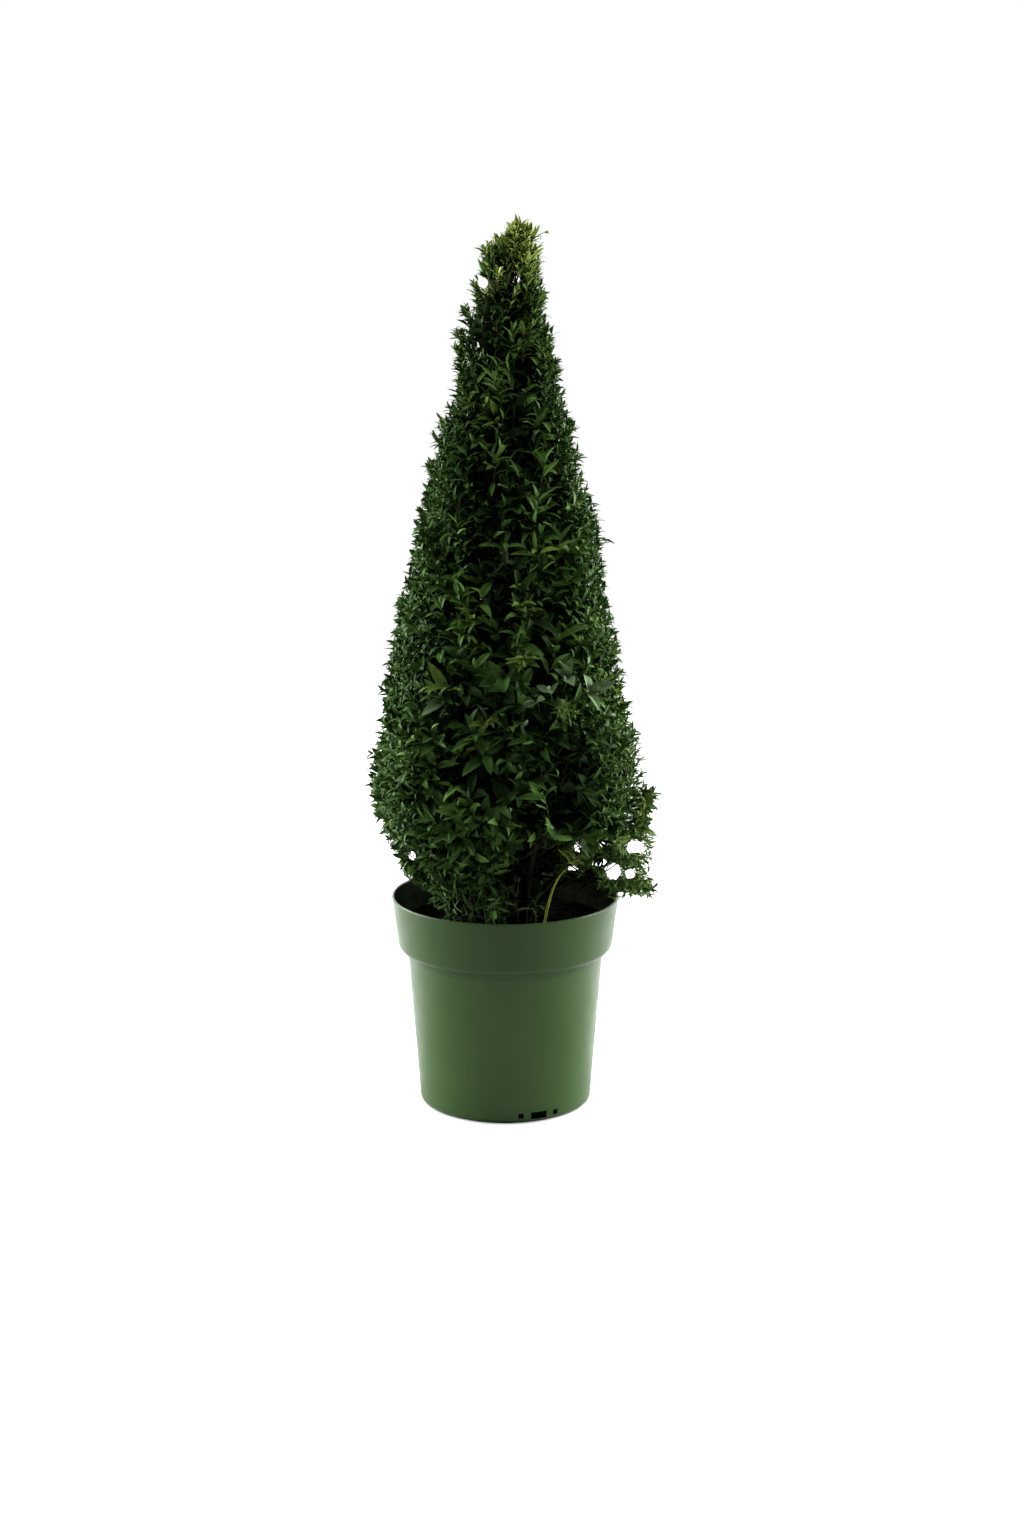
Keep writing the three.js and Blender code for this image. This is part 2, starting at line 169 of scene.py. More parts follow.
room = bpy.data.worlds.new("room")
bpy.context.scene.world = room
room.use_nodes = True
nodes, links = room.node_tree.nodes, room.node_tree.links
dim, white = nodes["Background"], nodes.new("ShaderNodeBackground")
dim.inputs["Strength"].default_value = AMBIENT
white.inputs["Color"].default_value = (1, 1, 1, 1)
dim.inputs["Color"].default_value = (1, 1, 1, 1)
seen = nodes.new("ShaderNodeMixShader")
links.new(nodes.new("ShaderNodeLightPath").outputs["Is Camera Ray"], seen.inputs["Fac"])
links.new(dim.outputs[0], seen.inputs[1])
links.new(white.outputs[0], seen.inputs[2])
links.new(seen.outputs[0], nodes["World Output"].inputs["Surface"])
bpy.context.scene.view_settings.view_transform = "Standard"
print("studio:", len(SOFT_BOXES), "soft boxes and a top light")

# %% [markdown]
# Every finish is a Principled shader. A colour that is the same all over is set on the shader's
# own socket. The grain comes from noise on Object coordinates, so it sits still on the piece.


# %% Helpers for finishes
def finish(name, colour, roughness, specular=0.5):
    """A new material with a plain colour, a roughness and a strength of gloss."""
    material = bpy.data.materials.new(name)
    material.use_nodes = True
    shader = material.node_tree.nodes["Principled BSDF"]
    shader.inputs["Base Color"].default_value = (*colour, 1)
    shader.inputs["Roughness"].default_value = roughness
    shader.inputs["Specular IOR Level"].default_value = specular
    return material


def grain(material, scale, detail=3, stretch=(1, 1, 1)):
    """A noise texture on Object coordinates, and its value from 0 to 1."""
    nodes, links = material.node_tree.nodes, material.node_tree.links
    place = nodes.new("ShaderNodeTexCoord")
    mapping = nodes.new("ShaderNodeMapping")
    mapping.inputs["Scale"].default_value = stretch
    texture = nodes.new("ShaderNodeTexNoise")
    texture.inputs["Scale"].default_value = scale
    texture.inputs["Detail"].default_value = detail
    links.new(place.outputs["Object"], mapping.inputs["Vector"])
    links.new(mapping.outputs["Vector"], texture.inputs["Vector"])
    return texture.outputs["Fac"]


def raise_grain(material, value, distance, strength=1.0):
    """Raises the surface by a value, to that distance. A second call adds to the first."""
    nodes, links = material.node_tree.nodes, material.node_tree.links
    shader = nodes["Principled BSDF"]
    bump = nodes.new("ShaderNodeBump")
    bump.inputs["Distance"].default_value = distance
    bump.inputs["Strength"].default_value = strength
    links.new(value, bump.inputs["Height"])
    if shader.inputs["Normal"].links:
        links.new(shader.inputs["Normal"].links[0].from_socket, bump.inputs["Normal"])
    links.new(bump.outputs["Normal"], shader.inputs["Normal"])


def between(material, value, socket, low, high, start=0.3, end=0.7):
    """Drives a shader's socket by a value, from low at start to high at end."""
    nodes, links = material.node_tree.nodes, material.node_tree.links
    ramp = nodes.new("ShaderNodeValToRGB")
    as_colour = (lambda c: (*c, 1)) if isinstance(low, tuple) else (lambda c: (c, c, c, 1))
    ramp.color_ramp.elements[0].position, ramp.color_ramp.elements[0].color = start, as_colour(low)
    ramp.color_ramp.elements[1].position, ramp.color_ramp.elements[1].color = end, as_colour(high)
    links.new(value, ramp.inputs["Fac"])
    links.new(ramp.outputs["Color"], nodes["Principled BSDF"].inputs[socket])


def paint_shade_above(material, heights, share):
    """Paints shade: darkens the colour to that share above a height, on Object coordinates."""
    nodes, links = material.node_tree.nodes, material.node_tree.links
    split, rising = nodes.new("ShaderNodeSeparateXYZ"), nodes.new("ShaderNodeMapRange")
    links.new(nodes.new("ShaderNodeTexCoord").outputs["Object"], split.inputs[0])
    links.new(split.outputs["Z"], rising.inputs["Value"])
    for socket, number in zip(("From Min", "From Max", "To Min", "To Max"), (*heights, 1, share)):
        rising.inputs[socket].default_value = number
    dimmed = nodes.new("ShaderNodeVectorMath")
    dimmed.operation = "SCALE"
    colour = nodes["Principled BSDF"].inputs["Base Color"]
    links.new(colour.links[0].from_socket, dimmed.inputs[0])
    links.new(rising.outputs["Result"], dimmed.inputs["Scale"])
    links.new(dimmed.outputs["Vector"], colour)


# %% [markdown]
# The pot is injection-moulded plastic: one dull green, satin, with faint rings left by the mould
# and a few cloudy scuffs where the surface is a little rougher. The collar is painted darker,
# as painted shade under the foliage that hangs over it.

# %% Finish: moulded pot plastic
POT_GREEN, POT_GREEN_WORN = (0.0168, 0.0398, 0.0084), (0.0205, 0.0446, 0.0111)
COLLAR_LEDGE = (0.183, 0.188)
COLLAR_PAINTED_SHADE = 0.80
pot_plastic = finish("moulded plastic", POT_GREEN, 0.34, 0.115)
between(pot_plastic, grain(pot_plastic, 14, 4), "Base Color", POT_GREEN, POT_GREEN_WORN)
# Painted shade: the colour is darkened above the collar's ledge, as if the foliage overhead shaded it.
paint_shade_above(pot_plastic, COLLAR_LEDGE, COLLAR_PAINTED_SHADE)
between(pot_plastic, grain(pot_plastic, 40, 5), "Roughness", 0.29, 0.39)
# Painted shade: the inside of the pot is near-black, with a little noise, for the shade inside it under the
# crown.
inner_shade_plastic = finish("inner painted shade", (0.003, 0.004, 0.002), 0.9, 0.02)
INNER_SHADE_DARK, INNER_SHADE_LIGHT = (0.0015, 0.002, 0.001), (0.005, 0.008, 0.003)
between(inner_shade_plastic, grain(inner_shade_plastic, 60, 5), "Base Color", INNER_SHADE_DARK, INNER_SHADE_LIGHT)
raise_grain(pot_plastic, grain(pot_plastic, 420, 2), 0.00006)
raise_grain(pot_plastic, grain(pot_plastic, 3, 1, (0.2, 0.2, 60)), 0.00012, 0.5)

# %% [markdown]
# Old bark is grey-brown and furrowed, and the young wood of a shoot is green. Moist potting mix
# is dark. Both old bark and mix are set nearly black here, partly as painted shade: the wood
# stands inside the crown and the mix lies under it.

# %% Finish: bark, young bark and potting mix
# Painted shade in part: the old bark is kept nearly black, darker than grey-brown bark, for the shade inside
# the crown.
bark = finish("old bark", (0.012, 0.011, 0.006), 0.85, 0.03)
between(bark, grain(bark, 60, 6, (1, 1, 0.25)), "Base Color", (0.005, 0.005, 0.003), (0.020, 0.018, 0.010))
raise_grain(bark, grain(bark, 160, 5, (1, 1, 0.2)), 0.0008)
young_bark = finish("young bark", (0.20, 0.25, 0.035), 0.5, 0.1)
green_bark = finish("green bark", (0.022, 0.040, 0.008), 0.7, 0.03)
for shoot_bark in (young_bark, green_bark):
    raise_grain(shoot_bark, grain(shoot_bark, 500, 2, (1, 1, 0.3)), 0.0002)
# Painted shade in part: the mix is darker than moist mix alone, nearly black, for the shade under the crown.
mix_finish = finish("moist potting mix", (0.002, 0.0016, 0.001), 0.95, 0.01)
MIX_DARK, MIX_LIGHT = (0.0006, 0.0005, 0.0004), (0.0035, 0.0028, 0.002)
between(mix_finish, grain(mix_finish, 220, 5), "Base Color", MIX_DARK, MIX_LIGHT)
raise_grain(mix_finish, grain(mix_finish, 420, 6), 0.0012)

# %% [markdown]
# A boxwood leaf is small, thick and glossy. Old leaves are deep green, leaves of the year are
# fresher, and the newest at the tip are yellow-green. Leaves in the shade are almost black. The
# pale green is partly the paler underside of a leaf turned over and partly a painted sheen of
# light on glossy leaves. Each of these is its own plain colour, and whole sprays take one or
# another, so the crown is mottled by spray as a real one is.

# %% Finish: the leaf greens
LEAF_GREENS = {
    "shaded": ((0.007, 0.0165, 0.004), 0.6, 0.02),
    "deep": ((0.0235, 0.0535, 0.0105), 0.42, 0.026),
    "grown": ((0.041, 0.083, 0.016), 0.43, 0.026),
    "fresh": ((0.063, 0.105, 0.017), 0.44, 0.03),
    "young": ((0.185, 0.245, 0.055), 0.46, 0.04),
    # The pale green is partly a leaf's paler underside and partly a painted sheen of light on glossy leaves.
    "pale": ((0.076, 0.120, 0.054), 0.5, 0.05),
}
LEAF_SLOTS = {
    "shaded": "deep_leaf", "deep": "deep_leaf", "grown": "leaf", "fresh": "fresh_leaf", "young": "young_leaf",
    "pale": "leaf",
}
KINDS = list(LEAF_GREENS)
leaf_finishes = {}
for kind, (green, roughness, shine) in LEAF_GREENS.items():
    leaf_finishes[kind] = finish(f"{kind} leaf", green, roughness, shine)
    raise_grain(leaf_finishes[kind], grain(leaf_finishes[kind], 300, 3), 0.0004, 0.6)
print("leaf greens:", ", ".join(KINDS))

# %% [markdown]
# The pot is a turned shape, so it is drawn up ring by ring, as a potter raises a wall: a disc is
# extruded and scaled through one station after another, up the outside, over the rim and down the
# inside to the floor. Round stretches, such as the foot, the collar's lower edge and the rim, are
# quarter and half circles of a few stations each.


# %% Draw a solid up through rings
def drawn_up(stations, sides):
    """A closed solid from a disc that is extruded through stations of (x, y, z, radius)."""
    start_clean()
    x, y, z, radius = stations[0]
    bpy.ops.mesh.primitive_circle_add(
        vertices=sides, radius=radius, location=(x, y, z), fill_type="NGON"
    )
    solid = bpy.context.object
    bpy.ops.object.mode_set(mode="EDIT")
    bpy.ops.mesh.select_all(action="SELECT")
    for before, after in zip(stations, stations[1:]):
        step = [after[k] - before[k] for k in range(3)]
        grow = after[3] / before[3]
        bpy.ops.mesh.extrude_region_move(TRANSFORM_OT_translate={"value": step})
        bpy.ops.transform.resize(value=(grow, grow, 1), center_override=after[:3])
    bpy.ops.object.mode_set(mode="OBJECT")
    return solid


def arc(centre_radius, centre_height, radius, start, end, steps):
    """Stations on the pot's axis along an arc of its section, in degrees from straight out."""
    turns = [math.radians(start + (end - start) * i / steps) for i in range(steps + 1)]
    return [
        (0, 0, centre_height + radius * math.sin(t), centre_radius + radius * math.cos(t))
        for t in turns
    ]


# %% [markdown]
# The wall of the pot takes its rim and its height from the frame. Drain slots stand in groups
# round the foot, and round holes go through the floor. They are cut by boxes and cylinders that
# are joined and taken away in one step. The inner wall is painted near-black as painted shade
# inside the pot, and only its top keeps the pot's green.

# %% Pot: the wall
POT_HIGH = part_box("pot")[1]
RIM_RADIUS, POT_TOP = POT_HIGH.x, POT_HIGH.z
FOOT_RADIUS, FOOT_ROUND = 0.1055, 0.007
BODY_RADIUS = 0.1205  # just under the collar
COLLAR_FOOT, COLLAR_ROUND = 0.193, 0.012
RIM_ROUND, WALL, POT_FLOOR = 0.0014, 0.002, 0.003
POT_SIDES = 144

COLLAR_RADIUS = BODY_RADIUS + COLLAR_ROUND
section = [(0, 0, 0, FOOT_RADIUS - FOOT_ROUND - 0.006)]
section += arc(FOOT_RADIUS - FOOT_ROUND, FOOT_ROUND, FOOT_ROUND, -90, 0, 6)
section += [(0, 0, COLLAR_FOOT - 0.0014, BODY_RADIUS - 0.0001), (0, 0, COLLAR_FOOT, BODY_RADIUS + 0.0006)]
section += arc(BODY_RADIUS, COLLAR_FOOT + COLLAR_ROUND, COLLAR_ROUND, -82, 0, 8)
section += [(0, 0, POT_TOP - 2.6 * RIM_ROUND, RIM_RADIUS - 0.0006)]
section += arc(RIM_RADIUS - RIM_ROUND, POT_TOP - RIM_ROUND, RIM_ROUND, 0, 180, 8)
section += [
    (0, 0, COLLAR_FOOT + COLLAR_ROUND, COLLAR_RADIUS - WALL),
    (0, 0, COLLAR_FOOT + WALL, BODY_RADIUS - WALL),
    (0, 0, FOOT_ROUND, FOOT_RADIUS - WALL),
    (0, 0, POT_FLOOR, FOOT_RADIUS - FOOT_ROUND),
    (0, 0, POT_FLOOR, FOOT_RADIUS / 2),
]
pot_wall = settle(drawn_up(section, POT_SIDES), "pot_wall")
report(pot_wall)

# %% [markdown]
# Water drains through three groups of slots in the foot of the wall, and through round holes in
# the floor. Cutters are added where the openings are, joined to one, and taken away from the wall
# with one Boolean.

# %% Pot: drain slots and holes
SLOT_GROUPS, FIRST_GROUP = 3, -67  # degrees
SLOT_SIZE, SLOT_BASE = (0.021, 0.009), 0.004
SIDE_HOLE, SIDE_TURN = 0.0065, 12.5
FLOOR_HOLES, HOLE_RADIUS, HOLE_RING = 6, 0.006, 0.064


CUTTER_DEPTH = 0.024


def slot_cutter(direction, width, base, height):
    """A box through the wall, standing on a height and facing one direction."""
    turn = math.radians(direction)
    place = (FOOT_RADIUS * math.cos(turn), FOOT_RADIUS * math.sin(turn), base + height / 2)
    bpy.ops.mesh.primitive_cube_add(
        size=1, location=place, rotation=(0, 0, turn), scale=(CUTTER_DEPTH, width, height)
    )
    return bpy.context.object


cutters = []
for group in range(SLOT_GROUPS):
    direction = FIRST_GROUP + group * 360 / SLOT_GROUPS
    cutters.append(slot_cutter(direction, SLOT_SIZE[0], SLOT_BASE, SLOT_SIZE[1]))
    for turn in (-SIDE_TURN, SIDE_TURN):
        cutters.append(slot_cutter(direction + turn, SIDE_HOLE, SLOT_BASE + 0.002, SIDE_HOLE))
for hole in range(FLOOR_HOLES):
    turn = math.radians(hole * 360 / FLOOR_HOLES)
    place = (HOLE_RING * math.cos(turn), HOLE_RING * math.sin(turn), 0)
    bpy.ops.mesh.primitive_cylinder_add(vertices=24, radius=HOLE_RADIUS, depth=4 * POT_FLOOR, location=place)
    cutters.append(bpy.context.object)
start_clean()
for cutter in cutters:
    cutter.select_set(True)
bpy.context.view_layer.objects.active = cutters[0]
bpy.ops.object.join()
cutter = bpy.context.object
apply_modifier(pot_wall, "BOOLEAN", operation="DIFFERENCE", solver="EXACT", object=cutter)
bpy.data.objects.remove(cutter)
bpy.ops.object.shade_smooth_by_angle(angle=math.radians(38))
pot_wall.data.materials.clear()
pot_wall.data.materials.append(pot_plastic)
pot_wall.data.materials.append(inner_shade_plastic)
# The inner wall and floor take the near-black painted shade, all but the top few millimetres under the rim.
UNSHADED_RIM = 0.004
for face in pot_wall.data.polygons:
    out = Vector((face.center.x, face.center.y, 0)).normalized()
    on_inner_wall = face.normal.dot(out) < -0.2
    on_floor = face.normal.z > 0.5 and face.center.z < COLLAR_FOOT + COLLAR_ROUND
    face.material_index = int((on_inner_wall or on_floor) and face.center.z < POT_TOP - UNSHADED_RIM)
stands_for(pot_wall, "pot_plastic", "pot")
report(pot_wall)

# %% [markdown]
# The mix fills the pot to about 30 mm under the rim. It is drawn up like
# the pot, then two Displace modifiers heap it up softly and roughen it.


# %% Potting mix
def displaced(piece, name, size, depth, stretch=(1, 1, 1), group=""):
    """Pushes a piece's surface in and out by a cloud texture of that size."""
    clouds = bpy.data.textures.new(name, "CLOUDS")
    clouds.noise_scale = size
    clouds.noise_depth = 3
    bpy.ops.object.empty_add(location=(0, 0, 0))
    ruler = bpy.context.object
    ruler.scale = stretch
    bpy.context.view_layer.update()
    apply_modifier(
        piece, "DISPLACE", texture=clouds, texture_coords="OBJECT", texture_coords_object=ruler,
        strength=depth, mid_level=0.5, vertex_group=group,
    )
    bpy.data.objects.remove(ruler)


MIX_LOW, MIX_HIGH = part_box("potting_mix")
MIX_TOP, MIX_RADIUS = MIX_HIGH.z, MIX_HIGH.x
mix_stations = [
    (0, 0, MIX_LOW.z, FOOT_RADIUS - FOOT_ROUND - 0.001),
    (0, 0, FOOT_ROUND, FOOT_RADIUS - WALL - 0.001),
    (0, 0, COLLAR_FOOT, BODY_RADIUS - WALL - 0.0015),
    (0, 0, COLLAR_FOOT + COLLAR_ROUND, MIX_RADIUS - 0.001),
]
TOP_RINGS = 26
for ring in range(TOP_RINGS):
    share = ring / TOP_RINGS
    mix_stations.append((0, 0, MIX_TOP - 0.006 * (1 - share) ** 8, MIX_RADIUS * (1 - share) + 0.001 * share))
mix_heap = settle(drawn_up(mix_stations, 96), "mix_heap")
loose = mix_heap.vertex_groups.new(name="loose")
loose.add([v.index for v in mix_heap.data.vertices if v.co.z > MIX_TOP - 0.004], 1, "REPLACE")
apply_modifier(mix_heap, "SUBSURF", subdivision_type="SIMPLE", levels=1, render_levels=1)
displaced(mix_heap, "heaps", 0.03, 0.008, group="loose")
displaced(mix_heap, "crumbs", 0.006, 0.0035, group="loose")
start_clean()
mix_heap.select_set(True)
bpy.ops.object.shade_smooth()
mix_heap.data.materials.append(mix_finish)
stands_for(mix_heap, "potting_mix", "potting_mix")
report(mix_heap)

# %% [markdown]
# Small things that repeat are modelled once, and then laid out as copies in one mesh. The next
# helper does that for the bark chips here, and for the leaves later: it takes the corner points
# of every copy at once and joins them under one name.


# %% One mesh from many copies
def copies_as_mesh(name, points, faces, material, smooth=True, crease=()):
    """Joins copies of one small shape. points has a row per copy and a place per corner.

    The edges between two corners in crease are shaded sharp.
    """
    count, corners = points.shape[:2]
    order = np.concatenate([np.array(face) for face in faces])
    sizes = np.tile([len(face) for face in faces], count)
    loops = (order[None, :] + corners * np.arange(count)[:, None]).ravel()
    starts = np.concatenate([[0], np.cumsum(sizes)[:-1]])
    mesh = bpy.data.meshes.new(name)
    mesh.vertices.add(count * corners)
    mesh.vertices.foreach_set("co", points.astype(np.float32).ravel())
    mesh.loops.add(len(loops))
    mesh.loops.foreach_set("vertex_index", loops.astype(np.int32))
    mesh.polygons.add(len(sizes))
    mesh.polygons.foreach_set("loop_start", starts.astype(np.int32))
    mesh.polygons.foreach_set("use_smooth", np.full(len(sizes), smooth))
    mesh.update(calc_edges=True)
    mesh.validate()
    if crease:
        ends = np.empty(len(mesh.edges) * 2, np.int32)
        mesh.edges.foreach_get("vertices", ends)
        along_vein = np.isin(ends.reshape(-1, 2) % corners, crease).all(1)
        mesh.attributes.new("sharp_edge", "BOOLEAN", "EDGE").data.foreach_set("value", along_vein)
    piece = bpy.data.objects.new(name, mesh)
    bpy.context.scene.collection.objects.link(piece)
    piece.data.materials.append(material)
    return piece


def shape_of(model):
    """The corner points and faces of a small model, which is then removed."""
    points = np.array([v.co for v in model.data.vertices])
    faces = [tuple(face.vertices) for face in model.data.polygons]
    bpy.data.objects.remove(model)
    return points, faces


# %% [markdown]
# Chips of bark lie on the mix. One chip is modelled as a bevelled block with its corners moved at
# random. Copies of many sizes are turned and dropped on the heap, where a ray finds its surface.

# %% Bark chips on the mix
CHIPS = 520
rng = np.random.default_rng(11)
start_clean()
bpy.ops.mesh.primitive_cube_add(size=1, location=(0, 0, 0), scale=(1, 0.6, 0.28))
chip = settle(bpy.context.object, "chip")
bpy.ops.object.mode_set(mode="EDIT")
bpy.ops.mesh.select_all(action="SELECT")
bpy.ops.mesh.bevel(offset=0.13, segments=1, affect="EDGES")
bpy.ops.transform.vertex_random(offset=0.09, seed=5)
bpy.ops.object.mode_set(mode="OBJECT")
chip_points, chip_faces = shape_of(chip)

spread = (MIX_RADIUS - 0.006) * np.sqrt(rng.random(CHIPS))
around = rng.random(CHIPS) * 2 * math.pi
chip_size = 0.003 + 0.008 * rng.random(CHIPS) ** 2
chip_turns = [
    np.array(Vector(axis).normalized().rotation_difference(Vector((0, 0, 1))).to_matrix())
    for axis in np.column_stack([rng.normal(0, 0.3, (CHIPS, 2)), np.ones(CHIPS)])
]
chips = np.empty((CHIPS, len(chip_points), 3))
for i in range(CHIPS):
    x, y = spread[i] * math.cos(around[i]), spread[i] * math.sin(around[i])
    found, place, *_ = mix_heap.ray_cast(Vector((x, y, MIX_TOP + 0.05)), Vector((0, 0, -1)))
    spin = around[i] * 7
    spin_rows = [[math.cos(spin), math.sin(spin), 0], [-math.sin(spin), math.cos(spin), 0], [0, 0, 1]]
    flat = chip_points @ np.array(spin_rows)
    ground = place.z if found else MIX_TOP
    chips[i] = flat * chip_size[i] @ chip_turns[i].T + np.array([x, y, ground + 0.0005])
bark_chips = copies_as_mesh("bark_chips", chips, chip_faces, mix_finish, smooth=False)
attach(bark_chips, "root")
report(bark_chips)

# %% [markdown]
# The solids of the stems say where the wood runs: each one is a stack of level rings. The rings
# are read back as a centre line with a thickness, and the real stem is drawn up along it with
# more sides and more rings. A stem that went into a mass of foliage grows on inside it.


# %% Read the centre line of a limb
def level_rings(node, least=6):
    """Rows of x, y, z and radius, one for each whole level ring of a CAD limb, from its foot."""
    corners = np.array([v.co for v in NODES[node].data.vertices])
    corners = np.unique(np.round(corners, 6), axis=0)
    rows = []
    for level in np.unique(np.round(corners[:, 2], 5)):
        ring = corners[np.abs(corners[:, 2] - level) < 2e-5]
        if len(ring) < least:
            continue
        centre = (ring.min(0) + ring.max(0)) / 2
        rows.append([centre[0], centre[1], level, np.hypot(*(ring - centre)[:, :2].T).max()])
    return np.array(rows)


def eased(line, count):
    """The same line with this many rows, evenly spread and smoothed."""
    along = np.concatenate([[0], np.cumsum(np.linalg.norm(np.diff(line[:, :3], axis=0), axis=1))])
    fine = np.linspace(0, along[-1], count)
    rows = np.column_stack([np.interp(fine, along, line[:, k]) for k in range(4)])
    for _ in range(4):
        rows[1:-1, :3] = (rows[:-2, :3] + 2 * rows[1:-1, :3] + rows[2:, :3]) / 4
    return rows


SIDE_STEMS = [n for n in NODES if n.startswith("stem_")]
LOW_BOUGHS = [n for n in NODES if n.startswith("bough_")]
leader = eased(level_rings("main_stem", 8), 72)
limbs = {"main_stem": leader}
for node in SIDE_STEMS + LOW_BOUGHS + ["young_shoot"]:
    limbs[node] = level_rings(node)
print("the leader runs from", leader[0, 2].round(3), "to", leader[-1, 2].round(3), "m")

# %% [markdown]
# How wide is the crown at a height, and where is its middle? Both come from the solids: the
# middle is the leader, and the width is the furthest corner of the foliage in that direction.

# %% Measure the crown
MASSES = [n for n in NODES if n.split("_")[0] in ("hem", "belly", "waist", "shoulder", "neck", "tip")]
PADS = [n for n in NODES if n.startswith("spray_")]
CROWN_TOP = max(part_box(n)[1].z for n in MASSES)
CROWN_FOOT = min(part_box(n)[0].z for n in MASSES)


def corners_and_faces(node):
    """The corner points of a solid's triangles, three to a row."""
    mesh = NODES[node].data
    mesh.calc_loop_triangles()
    corners = np.empty(len(mesh.vertices) * 3, np.float32)
    mesh.vertices.foreach_get("co", corners)
    faces = np.empty(len(mesh.loop_triangles) * 3, np.int32)
    mesh.loop_triangles.foreach_get("vertices", faces)
    return corners.reshape(-1, 3).astype(float)[faces.reshape(-1, 3)]


def middle_at(height):
    """Where the crown's middle is, in X, at these heights."""
    return np.interp(height, leader[:, 2], leader[:, 0])


HEIGHT_STEPS = 40
all_corners = np.concatenate([corners_and_faces(n).reshape(-1, 3) for n in MASSES])
corner_reach = np.hypot(all_corners[:, 0] - middle_at(all_corners[:, 2]), all_corners[:, 1])
level_marks = np.linspace(CROWN_FOOT, CROWN_TOP, HEIGHT_STEPS)
level_reach = [
    corner_reach[np.abs(all_corners[:, 2] - mark) < 0.03].max(initial=0.01) for mark in level_marks
]


def reach_at(height):
    """The crown's widest reach from its middle at these heights."""
    return np.interp(height, level_marks, level_reach)


def rise(height):
    """0 at the crown's hem and 1 at its tip."""
    return np.clip((height - CROWN_FOOT) / (CROWN_TOP - CROWN_FOOT), 0, 1)


print("the crown reaches", round(float(max(level_reach)) / MM), "mm from its middle")

# %% [markdown]
# The branching rule. Boughs leave the leader one after another, each turned by the golden angle
# from the last, and curve outwards and up to two thirds of the way to the skin of the crown. The
# side stems fork on from their tips in the same way.


# %% Grow the boughs
def unit(vectors):
    return vectors / np.maximum(np.linalg.norm(vectors, axis=-1, keepdims=True), 1e-9)


def bowed(start, bend, end, steps):
    """Points along a curve from start to end that bends towards bend. Rows are curves."""
    t = np.linspace(0, 1, steps)[None, :, None]
    start, bend, end = (np.atleast_2d(p)[:, None, :] for p in (start, bend, end))
    return (1 - t) ** 2 * start + 2 * t * (1 - t) * bend + t**2 * end


GOLDEN_ANGLE = math.radians(137.508)
BOUGHS = 84
BOUGH_STEPS = 9
rng = np.random.default_rng(23)

bough_foot_height = np.linspace(0.29, 1.01, BOUGHS) + rng.normal(0, 0.004, BOUGHS)
bough_turn = np.arange(BOUGHS) * GOLDEN_ANGLE + rng.normal(0, 0.15, BOUGHS)
bough_lift = 0.045 + 0.055 * rng.random(BOUGHS)
end_height = np.minimum(bough_foot_height + bough_lift, CROWN_TOP - 0.02)
end_reach = reach_at(end_height) * (0.58 + 0.14 * rng.random(BOUGHS))


def on_leader(height):
    return np.column_stack([np.interp(height, leader[:, 2], leader[:, k]) for k in range(3)])


def round_middle(turn, reach, height):
    """Points at a direction, a reach from the crown's middle and a height."""
    return np.column_stack([middle_at(height) + reach * np.cos(turn), reach * np.sin(turn), height])


bough_start = on_leader(bough_foot_height)
bough_end = round_middle(bough_turn, end_reach, end_height)
bough_bend = round_middle(bough_turn, end_reach * 0.55, bough_foot_height + bough_lift * 0.25)
bough_lines = list(bowed(bough_start, bough_bend, bough_end, BOUGH_STEPS))
bough_thick = np.interp(bough_foot_height, [0.29, 1.01], [0.0036, 0.0012])

# Each side stem forks into three and each low bough into two, that climb on inside the crown.
for node in SIDE_STEMS + LOW_BOUGHS:
    top = limbs[node][-1]
    out = math.atan2(top[1], top[0])
    for fork in range(3 if node in SIDE_STEMS else 2):
        height = min(top[2] + 0.06 + 0.075 * fork, 0.52)
        heading = np.array([out + 0.35 * (fork - 1)])
        end = round_middle(heading, reach_at(height) * 0.68, np.array([height]))[0]
        bend = (top[:3] + end) / 2 + np.array([0.25 * top[0], 0.25 * top[1], -0.01])
        bough_lines.append(bowed(top[:3], bend, end, BOUGH_STEPS)[0])
        bough_thick = np.append(bough_thick, top[3] * 0.62)
bough_lines = np.array(bough_lines)
print(len(bough_lines), "boughs inside the crown")

# %% [markdown]
# Next, the habit of the plant at any place on its skin. Leaves are largest on the front and the
# back and much finer on the two flanks, where the shears pass most often, and they get narrow
# towards the tip. The same numbers then say how far apart the shoots stand.


# %% Leaf size by place
FRONT_LEAF = ([0, 0.12, 0.35, 0.6, 0.8, 0.9, 1], [0.021, 0.029, 0.033, 0.031, 0.024, 0.017, 0.014])
FLANK_LEAF = ([0, 0.3, 0.8, 1], [0.015, 0.015, 0.014, 0.013])


def flank_share(points):
    """0 on the front and back of the crown, 1 on its two flanks, and between in between."""
    aside = points[:, 0] - middle_at(points[:, 2])
    share = np.clip((np.abs(aside) / np.hypot(aside, points[:, 1]) - 0.55) / 0.4, 0, 1)
    return share * share * (3 - 2 * share)


def leaf_size(points):
    """How long the leaves are at these places on the skin."""
    flank, up = flank_share(points), rise(points[:, 2])
    return np.interp(up, *FRONT_LEAF) * (1 - flank) + np.interp(up, *FLANK_LEAF) * flank


def cloud(points, size, offset=0.0):
    """A smooth noise from about -1 to 1, with lumps of that size."""
    return np.array([noise.noise(Vector(p) / size + Vector((offset, offset, offset))) for p in points])


# %% [markdown]
# Where do the leafy shoots end? Their tips are dealt out over the skin of the solids, so the
# crown keeps their outline. Points are drawn at random by area, and one that falls too close to
# another is dropped, which leaves an even but unplanned spread. Where leaves are finer, shoots
# stand closer.


# %% Deal out shoot tips over the skin
CLEFT = (math.radians(-74), math.radians(-56))  # the dark cleft, right of the front
GAP_PER_LEAF = 0.66
HEM_TOP = 0.372


